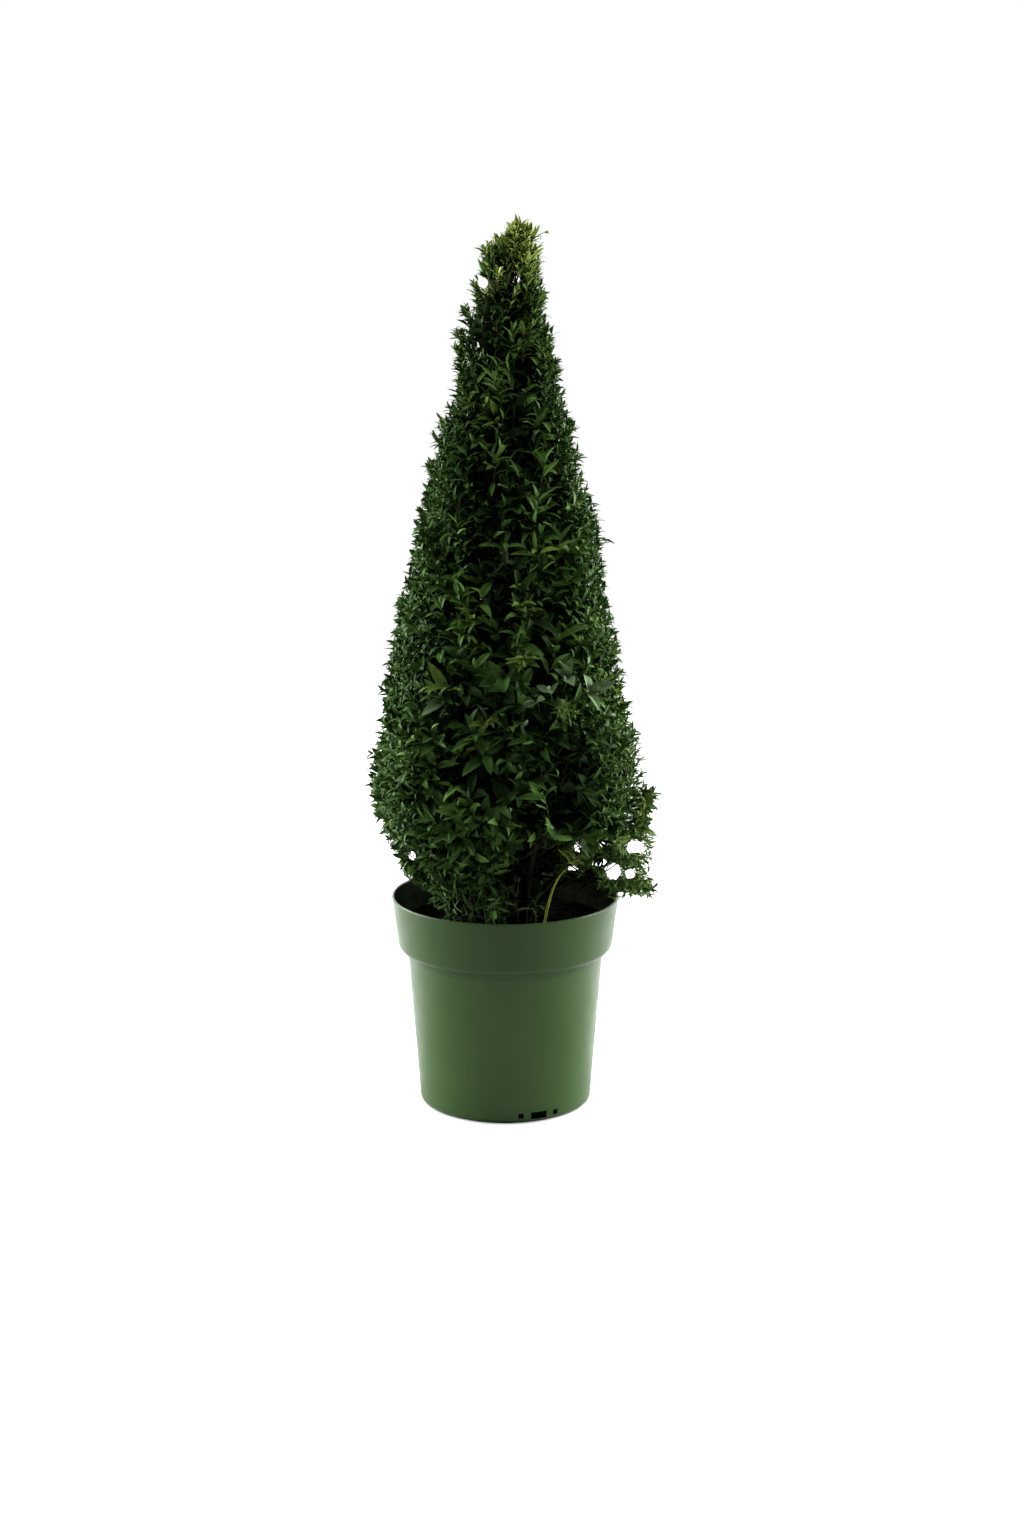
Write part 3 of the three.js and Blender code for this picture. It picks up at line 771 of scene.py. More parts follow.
def skin_points(node, spacing, rng):
    """Evenly spread points on the outer skin of a mass, with the skin's outward direction."""
    a, b, c = corners_and_faces(node).transpose(1, 0, 2)
    across = np.cross(b - a, c - a)
    area, outward = np.linalg.norm(across, axis=1) / 2, unit(across)
    centre = (a + b + c) / 3
    radial = unit(np.column_stack([centre[:, 0] - middle_at(centre[:, 2]), centre[:, 1], 0 * area]))
    facing = (outward * radial).sum(1)
    under = (outward[:, 2] < -0.4) & (centre[:, 2] < HEM_TOP)
    top = (outward[:, 2] > 0.5) & (centre[:, 2] > 1.05)
    turn = np.arctan2(centre[:, 1], centre[:, 0])
    in_cleft = (turn > CLEFT[0]) & (turn < CLEFT[1]) & (centre[:, 2] < 0.5)
    chance = area * np.select([in_cleft, facing > 0.3, under, top], [0.06, 1, 0.7, 1], 0)
    gap = spacing * leaf_size(centre)
    chance = chance / gap**2
    wanted = int(chance.sum() * 0.85)
    picks = rng.choice(len(area), wanted * 4, p=chance / chance.sum())
    u, v = rng.random((2, len(picks), 1))
    fold = u + v > 1
    u, v = np.where(fold, 1 - u, u), np.where(fold, 1 - v, v)
    points = a[picks] + u * (b - a)[picks] + v * (c - a)[picks]
    kept, cell_size, cells = [], gap.max(), {}
    for i, point in enumerate(points):
        cell = tuple(np.floor(point / cell_size).astype(int))
        near = [
            j
            for dx in (-1, 0, 1) for dy in (-1, 0, 1) for dz in (-1, 0, 1)
            for j in cells.get((cell[0] + dx, cell[1] + dy, cell[2] + dz), ())
        ]
        if all(math.dist(points[j], point) > gap[picks[i]] for j in near):
            cells.setdefault(cell, []).append(i)
            kept.append(i)
        if len(kept) == wanted:
            break
    kept = np.array(kept)
    return points[kept], outward[picks][kept]


CLIPPED, BEHIND, LOOSE = 0, 1, 2


class Shoots:
    """Shoots gathered from every part of the plant: one row of each list per shoot."""

    def __init__(self):
        self.rows = {
            key: [] for key in
            ("tip", "foot", "aim", "leafy", "leaf", "slim", "kind", "owner", "pairs", "splay", "layer")
        }

    def add(self, owner, tip, aim, leafy, leaf, slim, kind, foot=None, pairs=6, splay=1.0, layer=LOOSE):
        """Adds shoots. A foot left out is found on the nearest wood later.

        Splay says how far their leaves stand off, from 0, closed up, to 1. The layer is the
        clipped skin, the shade behind it, or loose growth that the shears left alone.
        """
        count = len(tip)
        whole = {
            "leafy": leafy, "leaf": leaf, "slim": slim, "kind": kind, "owner": owner, "pairs": pairs,
            "splay": splay, "layer": layer,
        }
        for key, value in whole.items():
            self.rows[key].append(np.broadcast_to(value, count))
        self.rows["tip"].append(tip)
        self.rows["aim"].append(aim)
        self.rows["foot"].append(np.full((count, 3), np.nan) if foot is None else foot)

    def gather(self):
        return {key: np.concatenate(rows) for key, rows in self.rows.items()}


# %% [markdown]
# A shoot's habit depends on where it is. At the hem shoots hang, up the cone they lean upwards,
# and at the tip they stand straight. A slow noise over the crown sways whole tufts to one side
# and pulls others in, which opens the dark hollows between them.
#
# Each spray takes one green, from shaded to young. Most of the crown is deep or grown leaf,
# and the tip is young and yellow-green. Toward the hem and on the flanks the greens are darker,
# as painted shade.
#
# This plant also has openings of its own, which no rule would put in the right places. The dark
# hollows, the holes to the sky and the hem line are listed, as they appear from in front.


# %% Habit and green of a shoot
# Deep hollows in the front of the crown: place in X and Z, and half width and half height.
HOLLOWS = (
    (0.085, 0.425, 0.027, 0.042), (0.078, 0.365, 0.030, 0.038), (0.040, 0.300, 0.024, 0.030),
    (0.028, 0.362, 0.012, 0.014), (-0.020, 0.398, 0.038, 0.015), (-0.060, 0.414, 0.015, 0.012),
    (0.040, 0.482, 0.018, 0.015), (-0.058, 0.480, 0.011, 0.017), (-0.050, 0.536, 0.011, 0.011),
    (0.043, 0.530, 0.015, 0.011), (0.003, 0.570, 0.011, 0.011), (-0.023, 0.588, 0.012, 0.013),
    (-0.067, 0.614, 0.011, 0.011), (0.000, 0.628, 0.010, 0.018), (-0.027, 0.676, 0.017, 0.011),
    (-0.013, 0.747, 0.010, 0.014), (-0.025, 0.778, 0.018, 0.014), (0.030, 0.792, 0.010, 0.010),
    (0.029, 0.824, 0.010, 0.014), (0.006, 0.856, 0.009, 0.018), (0.014, 0.903, 0.008, 0.018),
)
# Holes right through the crown, where the sky shows. Most are in the skirt on the right.
SKY_HOLES = (
    (0.089, 0.321, 0.004, 0.010), (0.121, 0.327, 0.007, 0.005), (0.160, 0.322, 0.012, 0.009),
    (0.133, 0.291, 0.009, 0.012), (0.117, 0.302, 0.010, 0.005), (0.083, 0.292, 0.007, 0.007),
    (0.103, 0.289, 0.006, 0.005), (0.153, 0.287, 0.005, 0.007), (-0.114, 0.310, 0.005, 0.005),
    (-0.026, 1.012, 0.006, 0.006),
    (0.013, 1.015, 0.004, 0.006),
)
# The lowest leaves of the clipped crown: X, and the height under which no leaf hangs.
HEM_LINE = (
    (-0.148, -0.133, -0.120, -0.095, -0.060, -0.030, -0.009, 0.012, 0.027, 0.045, 0.075, 0.100, 0.140),
    (0.335, 0.313, 0.288, 0.270, 0.270, 0.273, 0.283, 0.302, 0.316, 0.330, 0.325, 0.285, 0.275),
)
# The skirt on the right is lifted off the pot's mouth between these two X, down to this height.
SKIRT_LIFT = (0.047, 0.116, 0.284)
EYE = Vector(CAMERA_PLACE)


def seen_from_front(points):
    """Where points appear, in X and Z, on the upright plane through the middle of the plant."""
    nearer = EYE.y / (EYE.y - points[..., 1])
    return EYE.x + (points[..., 0] - EYE.x) * nearer, EYE.z + (points[..., 2] - EYE.z) * nearer


def inside(points, ovals):
    """How deep these places appear in any of the ovals: 0 on the edge and outside, 1 in the middle."""
    x, z = seen_from_front(points)
    depth = np.zeros(x.shape)
    for middle, height, half_width, half_height in ovals:
        away = ((x - middle) / half_width) ** 2 + ((z - height) / half_height) ** 2
        depth = np.maximum(depth, np.clip(1 - away, 0, 1))
    return depth


def in_hollow(points):
    """How deep these places lie in a hollow of the front, from 0 to 1."""
    return np.clip(2.5 * inside(points, HOLLOWS), 0, 1) * (points[:, 1] < 0)


def habit(tips, outwards, rng):
    """The direction that each shoot points in."""
    up = rise(tips[:, 2])[:, None]
    flank = flank_share(tips)[:, None]
    lean = np.interp(up, [0, 0.05, 0.14, 0.3, 0.7, 0.9, 1], [-0.75, -0.35, 0.35, 0.9, 1.25, 1.8, 3.2])
    lean = lean * (1 - 0.25 * flank) + 0.7 * cloud(tips, 0.045, 2.0)[:, None] * (1 - up)
    sideways = unit(np.cross(outwards, [0, 0, 1.0])) * 0.8 * cloud(tips, 0.05, 7.0)[:, None]
    flat = unit(outwards * [1, 1, 0.2])
    aim = unit(flat * np.interp(up, [0, 0.1, 0.9, 1], [0.5, 0.75, 0.7, 0.4]) + sideways + lean * [0, 0, 1])
    return unit(aim + rng.normal(0, 0.2, aim.shape))


def green_of(tips, outwards, rng):
    """The kind of leaf on each shoot, as its place in KINDS, darker near the hem and on the flanks as painted
    shade.
    """
    up, right = rise(tips[:, 2]), tips[:, 0] / reach_at(tips[:, 2])
    age_and_painted_shade = 1.55 + 0.9 * cloud(tips, 0.05, 5.0) + rng.normal(0, 0.5, len(tips))
    # Painted shade: sprays near the hem take darker greens.
    age_and_painted_shade += np.interp(up, [0, 0.1, 0.3, 0.75, 0.88, 0.95, 1], [-0.8, -0.4, 0, 0.3, 0.9, 1.9, 3.0])
    # Painted shade: sprays on the flanks take darker greens, the left flank more than the right.
    age_and_painted_shade -= flank_share(tips) * np.where(right < 0, 0.85, 0.5)
    age_and_painted_shade += 0.5 * np.clip(right, 0, 1) * (up < 0.35) * flank_share(tips)
    return np.clip(np.round(age_and_painted_shade), 1, 4).astype(int)


SHADED, PALE = KINDS.index("shaded"), KINDS.index("pale")
MIN_PULL = 0.0045
rng = np.random.default_rng(5)
shoots = Shoots()
for node in MASSES:
    tips, outwards = skin_points(node, GAP_PER_LEAF, rng)
    up, flank = rise(tips[:, 2]), flank_share(tips)
    varied = 1 + 0.3 * cloud(tips, 0.045, 3.0) + rng.normal(0, 0.12, len(tips))
    size = leaf_size(tips) * np.clip(varied, 0.6, 1.5)
    aim = habit(tips, outwards, rng)
    hollow = np.clip(1.5 * cloud(tips, 0.036) + 0.4 * cloud(tips, 0.013, 9.0) + 0.1, 0, 1)
    hollow = np.maximum(hollow, 1.25 * in_hollow(tips))
    depth = np.interp(up, [0, 0.8, 1], [0.034, 0.02, 0.002]) * (1 - 0.72 * flank)
    pull = MIN_PULL - 0.0055 * flank + hollow * depth + rng.normal(0, 0.0022, len(tips))
    reach_out = 0.72 * size[:, None] * aim
    skin = tips - reach_out - outwards * [1, 1, 0.3] * pull[:, None]
    slim = np.interp(up, [0, 0.1, 0.7, 0.9, 1], [0.2, 0.29, 0.28, 0.24, 0.24]) * (1 + 0.08 * flank)
    kind = np.where(rng.random(len(tips)) < 0.8 * in_hollow(tips), SHADED, green_of(tips, outwards, rng))
    closed_up = np.interp(up, [0, 0.72, 0.9, 1], [0.9, 0.85, 0.6, 0.45])
    feathery = (tips[:, 0] > 0.088) & (tips[:, 2] < 0.47)
    slim = np.where(feathery, 0.17, slim)
    shoots.add(node, skin, aim, 1.9 * size, size, slim, kind, splay=closed_up, layer=CLIPPED)

    # Behind it, two layers of older shoots in the shade keep the crown from being seen through.
    for share, spacing, low, high in ((1, 0.95, 0.028, 0.042), (2, 1.25, 0.06, 0.085)):
        tips, outwards = skin_points(node, spacing, rng)
        inward = np.column_stack([tips[:, 0] - middle_at(tips[:, 2]), tips[:, 1]])
        room = np.linalg.norm(inward, axis=1)
        depth = low + (high - low) * rng.random(len(tips)) + 0.03 * in_hollow(tips) * (share == 1)
        depth = np.minimum(depth, 0.75 * room)
        tips = tips - np.column_stack([inward / room[:, None] * depth[:, None], -0.004 * np.ones(len(tips))])
        keep = rng.random(len(tips)) < np.interp(rise(tips[:, 2]), [0, 0.08, 0.9, 0.96], [0.5, 1, 1, 0])
        size = 0.7 * leaf_size(tips) + 0.011
        aim = habit(tips, outwards, rng)
        kind = np.where(rng.random(len(tips)) < 0.25 / share * (1 - in_hollow(tips)), 1, SHADED)
        shoots.add(node, tips[keep], aim[keep], 0.05, size[keep], 0.38, kind[keep], layer=BEHIND)
    added = [len(r) for r, o in zip(shoots.rows["tip"], shoots.rows["owner"]) if o[0] == node]
    print(node, sum(added), "shoots")

# Dark shoots in the shaded green, as painted shade, stand round the leader, and more hang at the
# back by the rim. They close the last gaps that the sky would shine through.
CORE_SHOOTS = {
    "belly_back": (0.36, 0.55), "waist_back": (0.55, 0.75), "shoulder": (0.75, 0.93), "neck": (0.93, 1.02),
}
CORE_COUNT = 60
for node, (low, high) in CORE_SHOOTS.items():
    height = low + (high - low) * rng.random(CORE_COUNT)
    turn = 2 * math.pi * rng.random(CORE_COUNT)
    reach = reach_at(height) * 0.45 * rng.random(CORE_COUNT)
    tips = round_middle(turn, reach, height)
    aim = unit(rng.normal(0, 0.6, tips.shape) + [0, 0, 0.4])
    shoots.add(node, tips, aim, 0.05, np.minimum(0.032, reach_at(height) * 0.45), 0.42, SHADED, layer=BEHIND)
CURTAIN_SHOOTS = 46
spot = np.column_stack([
    0.015 + 0.075 * rng.random(CURTAIN_SHOOTS),
    0.080 + 0.030 * rng.random(CURTAIN_SHOOTS),
    0.270 + 0.030 * rng.random(CURTAIN_SHOOTS),
])
aim = unit(rng.normal(0, 0.4, spot.shape) + [0.1, 0.1, -0.7])
shoots.add("hem_back", spot, aim, 0.04, 0.024, 0.36, SHADED, layer=BEHIND)

# %% [markdown]
# The loose sprays hang outside the clipped outline. Each grows on from the bough that carries it:
# an axis runs out along the pad, and side shoots leave it left and right, like a feather, with
# fine, narrow leaves and sky between them.


# %% Loose sprays on their pads
def pad_line(node):
    """The root, the tip and the sideways direction of a pad, from its corners, and its width."""
    corners = corners_and_faces(node).reshape(-1, 3)
    centre = corners.mean(0)
    _, _, axes = np.linalg.svd(corners - centre, full_matrices=False)
    along = axes[0] * np.sign(axes[0] @ [centre[0], centre[1], 0])
    reach = (corners - centre) @ along
    half_width = np.abs((corners - centre) @ axes[1]).max()
    return centre + along * reach.min(), centre + along * reach.max(), axes[1], half_width


SPRAY_SHOOTS = 28
SPRAY_LEAF = 0.0135
SPRAY_TRIM = {"spray_right_high": 0.018, "spray_left_low": 0.022}
SPRAY_LOWEST = {"spray_left_low": 0.318}
SPRAY_LIFT = {"spray_right_high": 0.014}
rng = np.random.default_rng(31)
for node in PADS:
    root, end, sideways, width = pad_line(node)
    end = end + [0, 0, SPRAY_LIFT.get(node, 0)]
    share = (np.arange(SPRAY_SHOOTS)[:, None] + 0.6) / SPRAY_SHOOTS
    hand = np.where(np.arange(SPRAY_SHOOTS) % 2, 1, -1)[:, None]
    foot = root + (end - root) * share * 0.8
    swell = np.sin(np.pi * np.minimum(0.95, 0.15 + 0.8 * share))
    end = end - unit(end - root) * SPRAY_TRIM.get(node, 0.002)
    tip = root + (end - root) * np.minimum(1.0, share + 0.16)
    stand_off = hand * sideways * width * swell * (0.35 + 0.7 * rng.random(share.shape))
    tip = tip + stand_off + rng.normal(0, 0.004, foot.shape)
    tip[:, 2] = np.maximum(tip[:, 2], SPRAY_LOWEST.get(node, 0))
    aim = unit(tip - foot + rng.normal(0, 0.004, tip.shape))
    kind = np.clip(np.round(rng.normal(2.4, 0.6, SPRAY_SHOOTS)), 1, 3).astype(int)
    size = SPRAY_LEAF * (0.8 + 0.4 * rng.random(SPRAY_SHOOTS))
    shoots.add(node, tip - aim * 0.010, aim, 0.04, size, 0.2, kind, foot=foot, pairs=9)
print(SPRAY_SHOOTS, "shoots on each of", len(PADS), "loose sprays")

# %% [markdown]
# Under the hem, on the right, thin skirts of hanging shoots leave holes that the sky shows
# through. A few shoots also rise from the foot of the plant by the rim, and the young shoot on
# the right carries a yellow-green tuft. Sprigs that the shears missed stand out near the tip,
# tufts make the peak, and a few fresh sprigs and broad leaves are set on the front one by one.


# %% Skirt, foot shoots and young tufts
def fan(owner, place, aim, count, spread, leafy, leaf, slim, kinds, rng, foot=None, pairs=6, splay=1.0):
    """A tuft of shoots from one foot, spread about one direction."""
    aims = unit(np.array(aim) + rng.normal(0, spread, (count, 3)))
    foot = np.array(place if foot is None else foot) + rng.normal(0, 0.0015, (count, 3))
    tips = np.array(place) + aims * leafy * (0.55 + 0.6 * rng.random((count, 1)))
    size = leaf * (0.8 + 0.4 * rng.random(count))
    kind = rng.choice(kinds, count)
    shoots.add(owner, tips, aims, 0.9 * leafy, size, slim, kind, foot=foot, pairs=pairs, splay=splay)


rng = np.random.default_rng(67)
SKIRT_SHOOTS = 400
spot = np.column_stack([
    0.078 + 0.098 * rng.random(SKIRT_SHOOTS),
    -0.075 + 0.12 * rng.random(SKIRT_SHOOTS),
    0.280 + 0.068 * rng.random(SKIRT_SHOOTS),
])
aim = unit(unit(spot * [1, 1, 0]) * 0.8 - [0, 0, 0.35] + rng.normal(0, 0.35, spot.shape))
size = 0.0125 * (0.8 + 0.5 * rng.random(SKIRT_SHOOTS))
kind = np.clip(np.round(rng.normal(2.1, 0.8, SKIRT_SHOOTS)), 1, 3).astype(int)
shoots.add("hem_right", spot, aim, 0.03, size, 0.18, kind)

# The front hem ends in a fringe of drooping shoots of many lengths.
FRINGE_SHOOTS = 15
turn = np.radians(-132 + 46 * rng.random(FRINGE_SHOOTS))
reach = 0.100 + 0.038 * rng.random(FRINGE_SHOOTS)
height = 0.264 + 0.035 * rng.random(FRINGE_SHOOTS)
spot = np.column_stack([reach * np.cos(turn), reach * np.sin(turn), height])
aim = unit(unit(spot * [1, 1, 0]) * 0.45 - [0, 0, 0.8] + rng.normal(0, 0.3, spot.shape))
# Painted shade: the fringe takes the shaded and deep greens, under the hem.
kind = rng.choice([0, 1, 1], FRINGE_SHOOTS)
shoots.add("hem_left", spot, aim, 0.032, 0.019 * (0.75 + 0.5 * rng.random(FRINGE_SHOOTS)), 0.2, kind, pairs=5)

# Painted shade: the foot shoots take mostly the shaded green and some the deep, down in the pot's mouth.
FOOT_SHOOTS = {-0.069: 0.038, -0.045: 0.028, -0.023: 0.042, 0.037: 0.026}
MIX_EDGE = 0.100
for x, height in FOOT_SHOOTS.items():
    y = -math.sqrt(MIX_EDGE**2 - x**2)
    top = (x * 0.98, y * 0.97, MIX_TOP + height)
    fan("hem_left" if x < 0 else "hem_right", top, (x * 4, -0.3, 0.4), 2, 0.35, 0.024, 0.021, 0.16,
        [0, 0, 1], rng, foot=(x, y, MIX_TOP - 0.01), pairs=4)

young_end = limbs["young_shoot"][-1, :3]
YELLOW_GREENS = [3, 4, 4]
fan("hem_right", young_end - [0, 0, 0.006], (0.1, -0.2, 1), 9, 0.32, 0.024, 0.016, 0.15, YELLOW_GREENS, rng)
beside_end = young_end - [0.014, 0.004, 0.018]
fan("hem_right", beside_end, (-0.4, -0.3, 1), 10, 0.3, 0.024, 0.017, 0.13, YELLOW_GREENS, rng)

# Sprigs that stand out of the clipped outline near the tip, on both sides.
SPRIGS = (
    (-0.023, 1.050), (-0.033, 1.008), (-0.046, 0.985), (-0.053, 0.955), (-0.055, 0.932), (-0.077, 0.848),
    (-0.083, 0.832), (-0.094, 0.800), (0.040, 1.000), (0.047, 0.955), (0.058, 0.915), (0.078, 0.845),
)
for x, z in SPRIGS:
    place = (x * 0.88, rng.normal(0, 0.012), z - 0.022)
    owner = "neck" if z < 0.985 else "tip"
    fan(owner, place, (x * 5, 0, 1), 6, 0.16, 0.022, 0.0125, 0.26, [2, 3, 3], rng, splay=0.75)
peak = np.array([middle_at(CROWN_TOP), 0, CROWN_TOP])
PEAK_TUFTS = (
    (0.009, -0.040, 12), (0.002, -0.046, 10), (0.016, -0.046, 10), (-0.004, -0.058, 7), (-0.021, -0.068, 3),
    (0.004, -0.058, 14), (0.016, -0.066, 13), (-0.010, -0.074, 12), (0.019, -0.086, 12), (0.004, -0.092, 14),
    (-0.011, -0.098, 10),
)
for offset, height, count in PEAK_TUFTS:
    place = peak + [offset, rng.normal(0, 0.009), height]
    greens = [4] if height > -0.08 else [2, 3, 4]
    fan("tip", place, (offset * 6, 0, 1), count, 0.13, 0.028, 0.020, 0.2, greens, rng, splay=0.32)
shoots.add("tip", np.array([[0.046, 0.002, 1.0705]]), np.array([[1.0, 0, 0.3]]), 0.016, 0.009, 0.3, 3,
           foot=np.array([[0.024, 0, 1.052]]), pairs=3)


def rooted(place):
    """A foot for a sprig on the front of the crown: lower down, and well inside."""
    return (place[0] * 0.9, place[1] * 0.6, place[2] - 0.03)


# A column of fresh sprigs climbs the middle of the front.
for height in (0.563, 0.592, 0.621):
    place = (0.015, -0.32 * (0.9 - height), height)
    fan("waist_front", place, (0, -0.3, 1), 2, 0.3, 0.024, 0.020, 0.24, [3], rng, foot=rooted(place))

# A few broad old leaves stand out on the right of the front, over a pale young tuft. They take
# the pale green, partly their paler underside and partly a painted sheen.
BROAD_LEAVES = (
    ((0.044, -0.122, 0.529), (-1.0, -0.3, 0.1)), ((0.060, -0.120, 0.534), (-0.5, -0.4, 0.45)),
    ((0.073, -0.112, 0.550), (0.1, -0.4, 0.9)), ((0.089, -0.108, 0.535), (0.9, -0.4, 0.35)),
)
for place, aim in BROAD_LEAVES:
    foot = rooted(place)
    fan("belly_right", place, aim, 1, 0.1, 0.012, 0.027, 0.5, [PALE], rng, foot=foot, pairs=2, splay=0.4)
tuft = (0.070, -0.118, 0.506)
fan("belly_right", tuft, (0.1, -0.4, 1), 3, 0.35, 0.022, 0.014, 0.2, [2, 3], rng, foot=rooted(tuft))

# %% [markdown]
# A leaf is modelled once: a small grid of two by five faces, drawn to a point at both ends by
# scaling its rows. That is only sixteen triangles, because there will be tens of thousands of
# leaves.

# %% Model one leaf
LEAF_ROWS = {0.0: 0.0, 0.15: 0.58, 0.38: 0.97, 0.62: 0.95, 0.84: 0.52, 1.0: 0.0}  # place along it, and width

start_clean()
bpy.ops.mesh.primitive_grid_add(
    x_subdivisions=2, y_subdivisions=len(LEAF_ROWS) - 1, size=1, location=(0, 0.5, 0)
)
leaf = settle(bpy.context.object, "leaf")
rows = sorted({round(v.co.y, 4) for v in leaf.data.vertices})
for row, width in zip(rows, LEAF_ROWS.values()):
    for vertex in leaf.data.vertices:
        vertex.select = abs(vertex.co.y - row) < 1e-3
    for edge in leaf.data.edges:
        edge.select = all(leaf.data.vertices[i].select for i in edge.vertices)
    for face in leaf.data.polygons:
        face.select = False
    bpy.ops.object.mode_set(mode="EDIT")
    if width:
        bpy.ops.transform.resize(value=(width, 1, 1), center_override=(0, row, 0))
    else:
        bpy.ops.mesh.merge(type="CENTER")
    bpy.ops.object.mode_set(mode="OBJECT")
leaf_points, leaf_faces = shape_of(leaf)
print("one leaf has", len(leaf_points), "corners and", len(leaf_faces), "faces")

# The rows are still evenly spaced, so they slide to their places along the leaf here.
leaf_along = np.interp(leaf_points[:, 1], rows, list(LEAF_ROWS))
leaf_across = leaf_points[:, 0]
VEIN = tuple(int(i) for i in np.nonzero(np.abs(leaf_across) < 1e-4)[0])


# %% [markdown]
# All the leaves are laid at once. Each one has a foot, a direction, a face that looks up, and an
# arch that bends its point down. Its two halves are folded up a little along the vein.


# %% Lay leaves
def laid_leaves(foot, direction, face, length, width, arch, fold):
    """The corner points of a leaf for each row."""
    side = unit(np.cross(direction, face))
    face = np.cross(side, direction)
    bend = np.maximum(np.abs(arch), 1e-3)[:, None] * leaf_along[None, :]
    size = (length / np.maximum(np.abs(arch), 1e-3))[:, None]
    forward, drop = size * np.sin(bend), size * (1 - np.cos(bend)) * np.sign(arch)[:, None]
    across = width[:, None] * leaf_across[None, :]
    lift = fold[:, None] * np.abs(across) - drop
    return (
        foot[:, None, :]
        + forward[..., None] * direction[:, None, :]
        + across[..., None] * side[:, None, :]
        + lift[..., None] * face[:, None, :]
    )


def leaves_on(feet, bends, tips, leafy, leaf, slim, splay, pairs, rng):
    """Leaves in crossed pairs along the last stretch of each shoot, with a pair at its tip."""
    count = len(tips)
    laid, shoot_of = [], []
    shoot_length = np.linalg.norm(tips - bends, axis=1) + np.linalg.norm(bends - feet, axis=1)
    first = 1 - np.clip(leafy / shoot_length, 0.05, 0.95)
    roll = rng.random(count) * 2 * math.pi
    aside = unit(np.cross(unit(tips - bends), rng.normal(0, 1, (count, 3))))
    for pair in range(pairs):
        share = pair / (pairs - 1)
        t = (first + (1 - first) * share**0.9)[:, None]
        place = (1 - t) ** 2 * feet + 2 * t * (1 - t) * bends + t**2 * tips
        along = unit(2 * (1 - t) * (bends - feet) + 2 * t * (tips - bends))
        across = unit(aside - (aside * along).sum(1, keepdims=True) * along)
        other = np.cross(along, across)
        size = np.interp(share, [0, 0.5, 0.8, 1], [0.85, 1.05, 1.0, 0.8])
        for hand in (0, 1):
            turn = roll + pair * math.pi / 2 + hand * math.pi + rng.normal(0, 0.22, count)
            out = np.cos(turn)[:, None] * across + np.sin(turn)[:, None] * other
            stand = splay * (np.interp(share, [0, 0.7, 1], [60, 42, 26]) + rng.normal(0, 10, count))
            spread = np.radians(stand)[:, None]
            direction = unit(np.cos(spread) * along + np.sin(spread) * out + rng.normal(0, 0.1, (count, 3)))
            face = np.sin(spread) * along - np.cos(spread) * out + [0, 0, 0.35]
            face = face + rng.normal(0, 0.2, (count, 3))
            length = leaf * size * np.clip(1 + rng.normal(0, 0.15, count), 0.6, 1.45)
            width = length * slim * np.clip(1 + rng.normal(0, 0.14, count), 0.7, 1.4)
            arch = rng.normal(0.8, 0.5, count)
            corners = laid_leaves(place, direction, face, length, width, arch, 0.28 + 0.3 * rng.random(count))
            keep = rng.random(count) > 0.07
            laid.append(corners[keep])
            shoot_of.append(np.nonzero(keep)[0])
    return np.concatenate(laid), np.concatenate(shoot_of)


# %% [markdown]
# Wood that is too thin for its own modelling, such as boughs inside the crown, twigs and the
# stems of shoots, is made as tapering tubes of four to six sides, all at once, closed at both
# ends.


# %% Tubes along many lines
def tubes(name, lines, thick, thin, sides, material):
    """Closed tapering tubes along lines that all have the same number of points."""
    count, steps = lines.shape[:2]
    along = unit(np.gradient(lines, axis=1))
    guide = np.where(np.abs(along[..., 2:3]) > 0.9, [1.0, 0, 0], [0, 0, 1.0])
    across = unit(np.cross(along, guide))
    other = np.cross(along, across)
    shrink = np.linspace(0, 1, steps)[None, :, None, None]
    radius = np.reshape(thick, (-1, 1, 1, 1)) * (1 - shrink) + np.reshape(thin, (-1, 1, 1, 1)) * shrink
    turn = (np.arange(sides) / sides * 2 * math.pi)[None, None, :, None]
    circle = np.cos(turn) * across[:, :, None, :] + np.sin(turn) * other[:, :, None, :]
    rings = lines[:, :, None, :] + radius * circle
    faces = [tuple(range(sides))[::-1], tuple(range((steps - 1) * sides, steps * sides))]
    for step in range(steps - 1):
        for i in range(sides):
            a, b = step * sides + i, step * sides + (i + 1) % sides
            faces.append((a, b, b + sides, a + sides))
    return copies_as_mesh(name, rings.reshape(count, steps * sides, 3), faces, material)


# %% [markdown]
# Twigs join it all up. Branchlets run from the nearest bough out to places under the skin, and
# each shoot then starts from the nearest point on a branchlet. A joint that lies lower than its
# tip is preferred, because wood grows upwards.


# %% Join shoots to branchlets and boughs
def nearest_below(points, wood):
    """For each point, the row of the wood point that it grows from."""
    found = np.empty(len(points), int)
    for start in range(0, len(points), 500):
        gap = points[start:start + 500, None, :] - wood[None, :, :]
        cost = np.linalg.norm(gap, axis=2) + 1.5 * np.maximum(0, 0.012 - gap[..., 2])
        found[start:start + 500] = cost.argmin(1)
    return found


